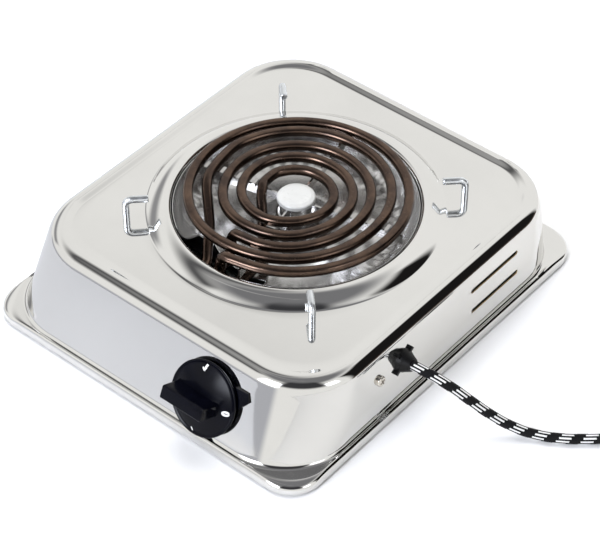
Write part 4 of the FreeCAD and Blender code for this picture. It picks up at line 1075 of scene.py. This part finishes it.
def studio():
    """White studio sky with dark flags and two soft boxes, seen as plain white behind the object."""
    world = bpy.data.worlds.new("studio")
    bpy.context.scene.world = world
    world.use_nodes = True
    tree = world.node_tree
    tree.nodes.clear()

    def add(kind, **settings):
        node = tree.nodes.new(kind)
        for key, value in settings.items():
            setattr(node, key, value)
        return node

    def wire(value, socket):
        if isinstance(value, bpy.types.NodeSocket):
            tree.links.new(value, socket)
        else:
            socket.default_value = value

    def calc(operation, *values):
        node = add("ShaderNodeMath", operation=operation)
        for value, socket in zip(values, node.inputs):
            wire(value, socket)
        return node.outputs[0]

    def ramp(value, low, high):
        node = add("ShaderNodeMapRange", interpolation_type="SMOOTHSTEP")
        wire(value, node.inputs["Value"])
        node.inputs["From Min"].default_value = low
        node.inputs["From Max"].default_value = high
        return node.outputs["Result"]

    way = add("ShaderNodeTexCoord").outputs["Generated"]
    split = add("ShaderNodeSeparateXYZ")
    tree.links.new(way, split.inputs[0])
    x, y, z = split.outputs
    elevation = calc("DEGREES", calc("ARCSINE", z))
    azimuth = calc("DEGREES", calc("ARCTAN2", y, x))

    def patch(centre, half, low, high, soft):
        """1 inside a window of the sky and 0 outside it."""
        off = calc("ABSOLUTE", calc("WRAP", calc("SUBTRACT", azimuth, centre), 180.0, -180.0))
        across = ramp(off, half + soft, half - soft)
        above = ramp(elevation, low - soft, low + soft)
        below = ramp(elevation, high + soft, high - soft)
        return calc("MULTIPLY", across, calc("MULTIPLY", above, below))

    def over(below, colour, mask):
        node = add("ShaderNodeMix", data_type="RGBA")
        wire(mask, node.inputs[0])
        wire(below, node.inputs[6])
        wire((*colour, 1), node.inputs[7])
        return node.outputs[2]

    sky = add("ShaderNodeRGB")
    sky.outputs[0].default_value = (*OPEN_SKY, 1)
    colour = sky.outputs[0]
    for centre, half, low, high, soft, tone in SKY:
        colour = over(colour, tone, patch(centre, half, low, high, soft))
    seen = add("ShaderNodeLightPath").outputs["Is Camera Ray"]
    background = add("ShaderNodeBackground")
    wire(over(colour, (1, 1, 1), seen), background.inputs["Color"])
    output = add("ShaderNodeOutputWorld")
    tree.links.new(background.outputs[0], output.inputs["Surface"])


studio()

LIGHT_PLACE = Vector((-0.5, 0.6, 1.9))
light = bpy.data.lights.new("overhead", "AREA")
light.shape = "SQUARE"
light.size = 1.6
light.energy = 34
overhead = add_object("overhead", light)
overhead.location = LIGHT_PLACE
overhead.rotation_euler = (-LIGHT_PLACE).to_track_quat("-Z", "Y").to_euler()
overhead.visible_glossy = False

# ---------------------------------------------------------------------------
# Camera
# ---------------------------------------------------------------------------

AZIMUTH = math.radians(39.88)
ELEVATION = math.radians(43.28)
ROLL = math.radians(0.06)
DISTANCE = 1486.24
LENS = 133.3848
LOOKED_AT = spot(26.63, -20.17, 40)

camera_data = bpy.data.cameras.new("camera")
camera_data.sensor_width = 36.0
camera_data.lens = LENS
camera_data.clip_end = 30
camera = add_object("camera", camera_data)
away = Vector((math.sin(AZIMUTH) * math.cos(ELEVATION), -math.cos(AZIMUTH) * math.cos(ELEVATION),
               math.sin(ELEVATION)))
right = Vector((math.cos(AZIMUTH), math.sin(AZIMUTH), 0))
upward = away.cross(right)
level_right = right * math.cos(ROLL) + upward * math.sin(ROLL)
level_up = upward * math.cos(ROLL) - right * math.sin(ROLL)
rotation = Matrix((level_right, level_up, away)).transposed().to_4x4()
camera.matrix_world = Matrix.Translation(LOOKED_AT + away * DISTANCE * MM) @ rotation
bpy.context.scene.camera = camera
bpy.context.scene.view_settings.view_transform = "Standard"
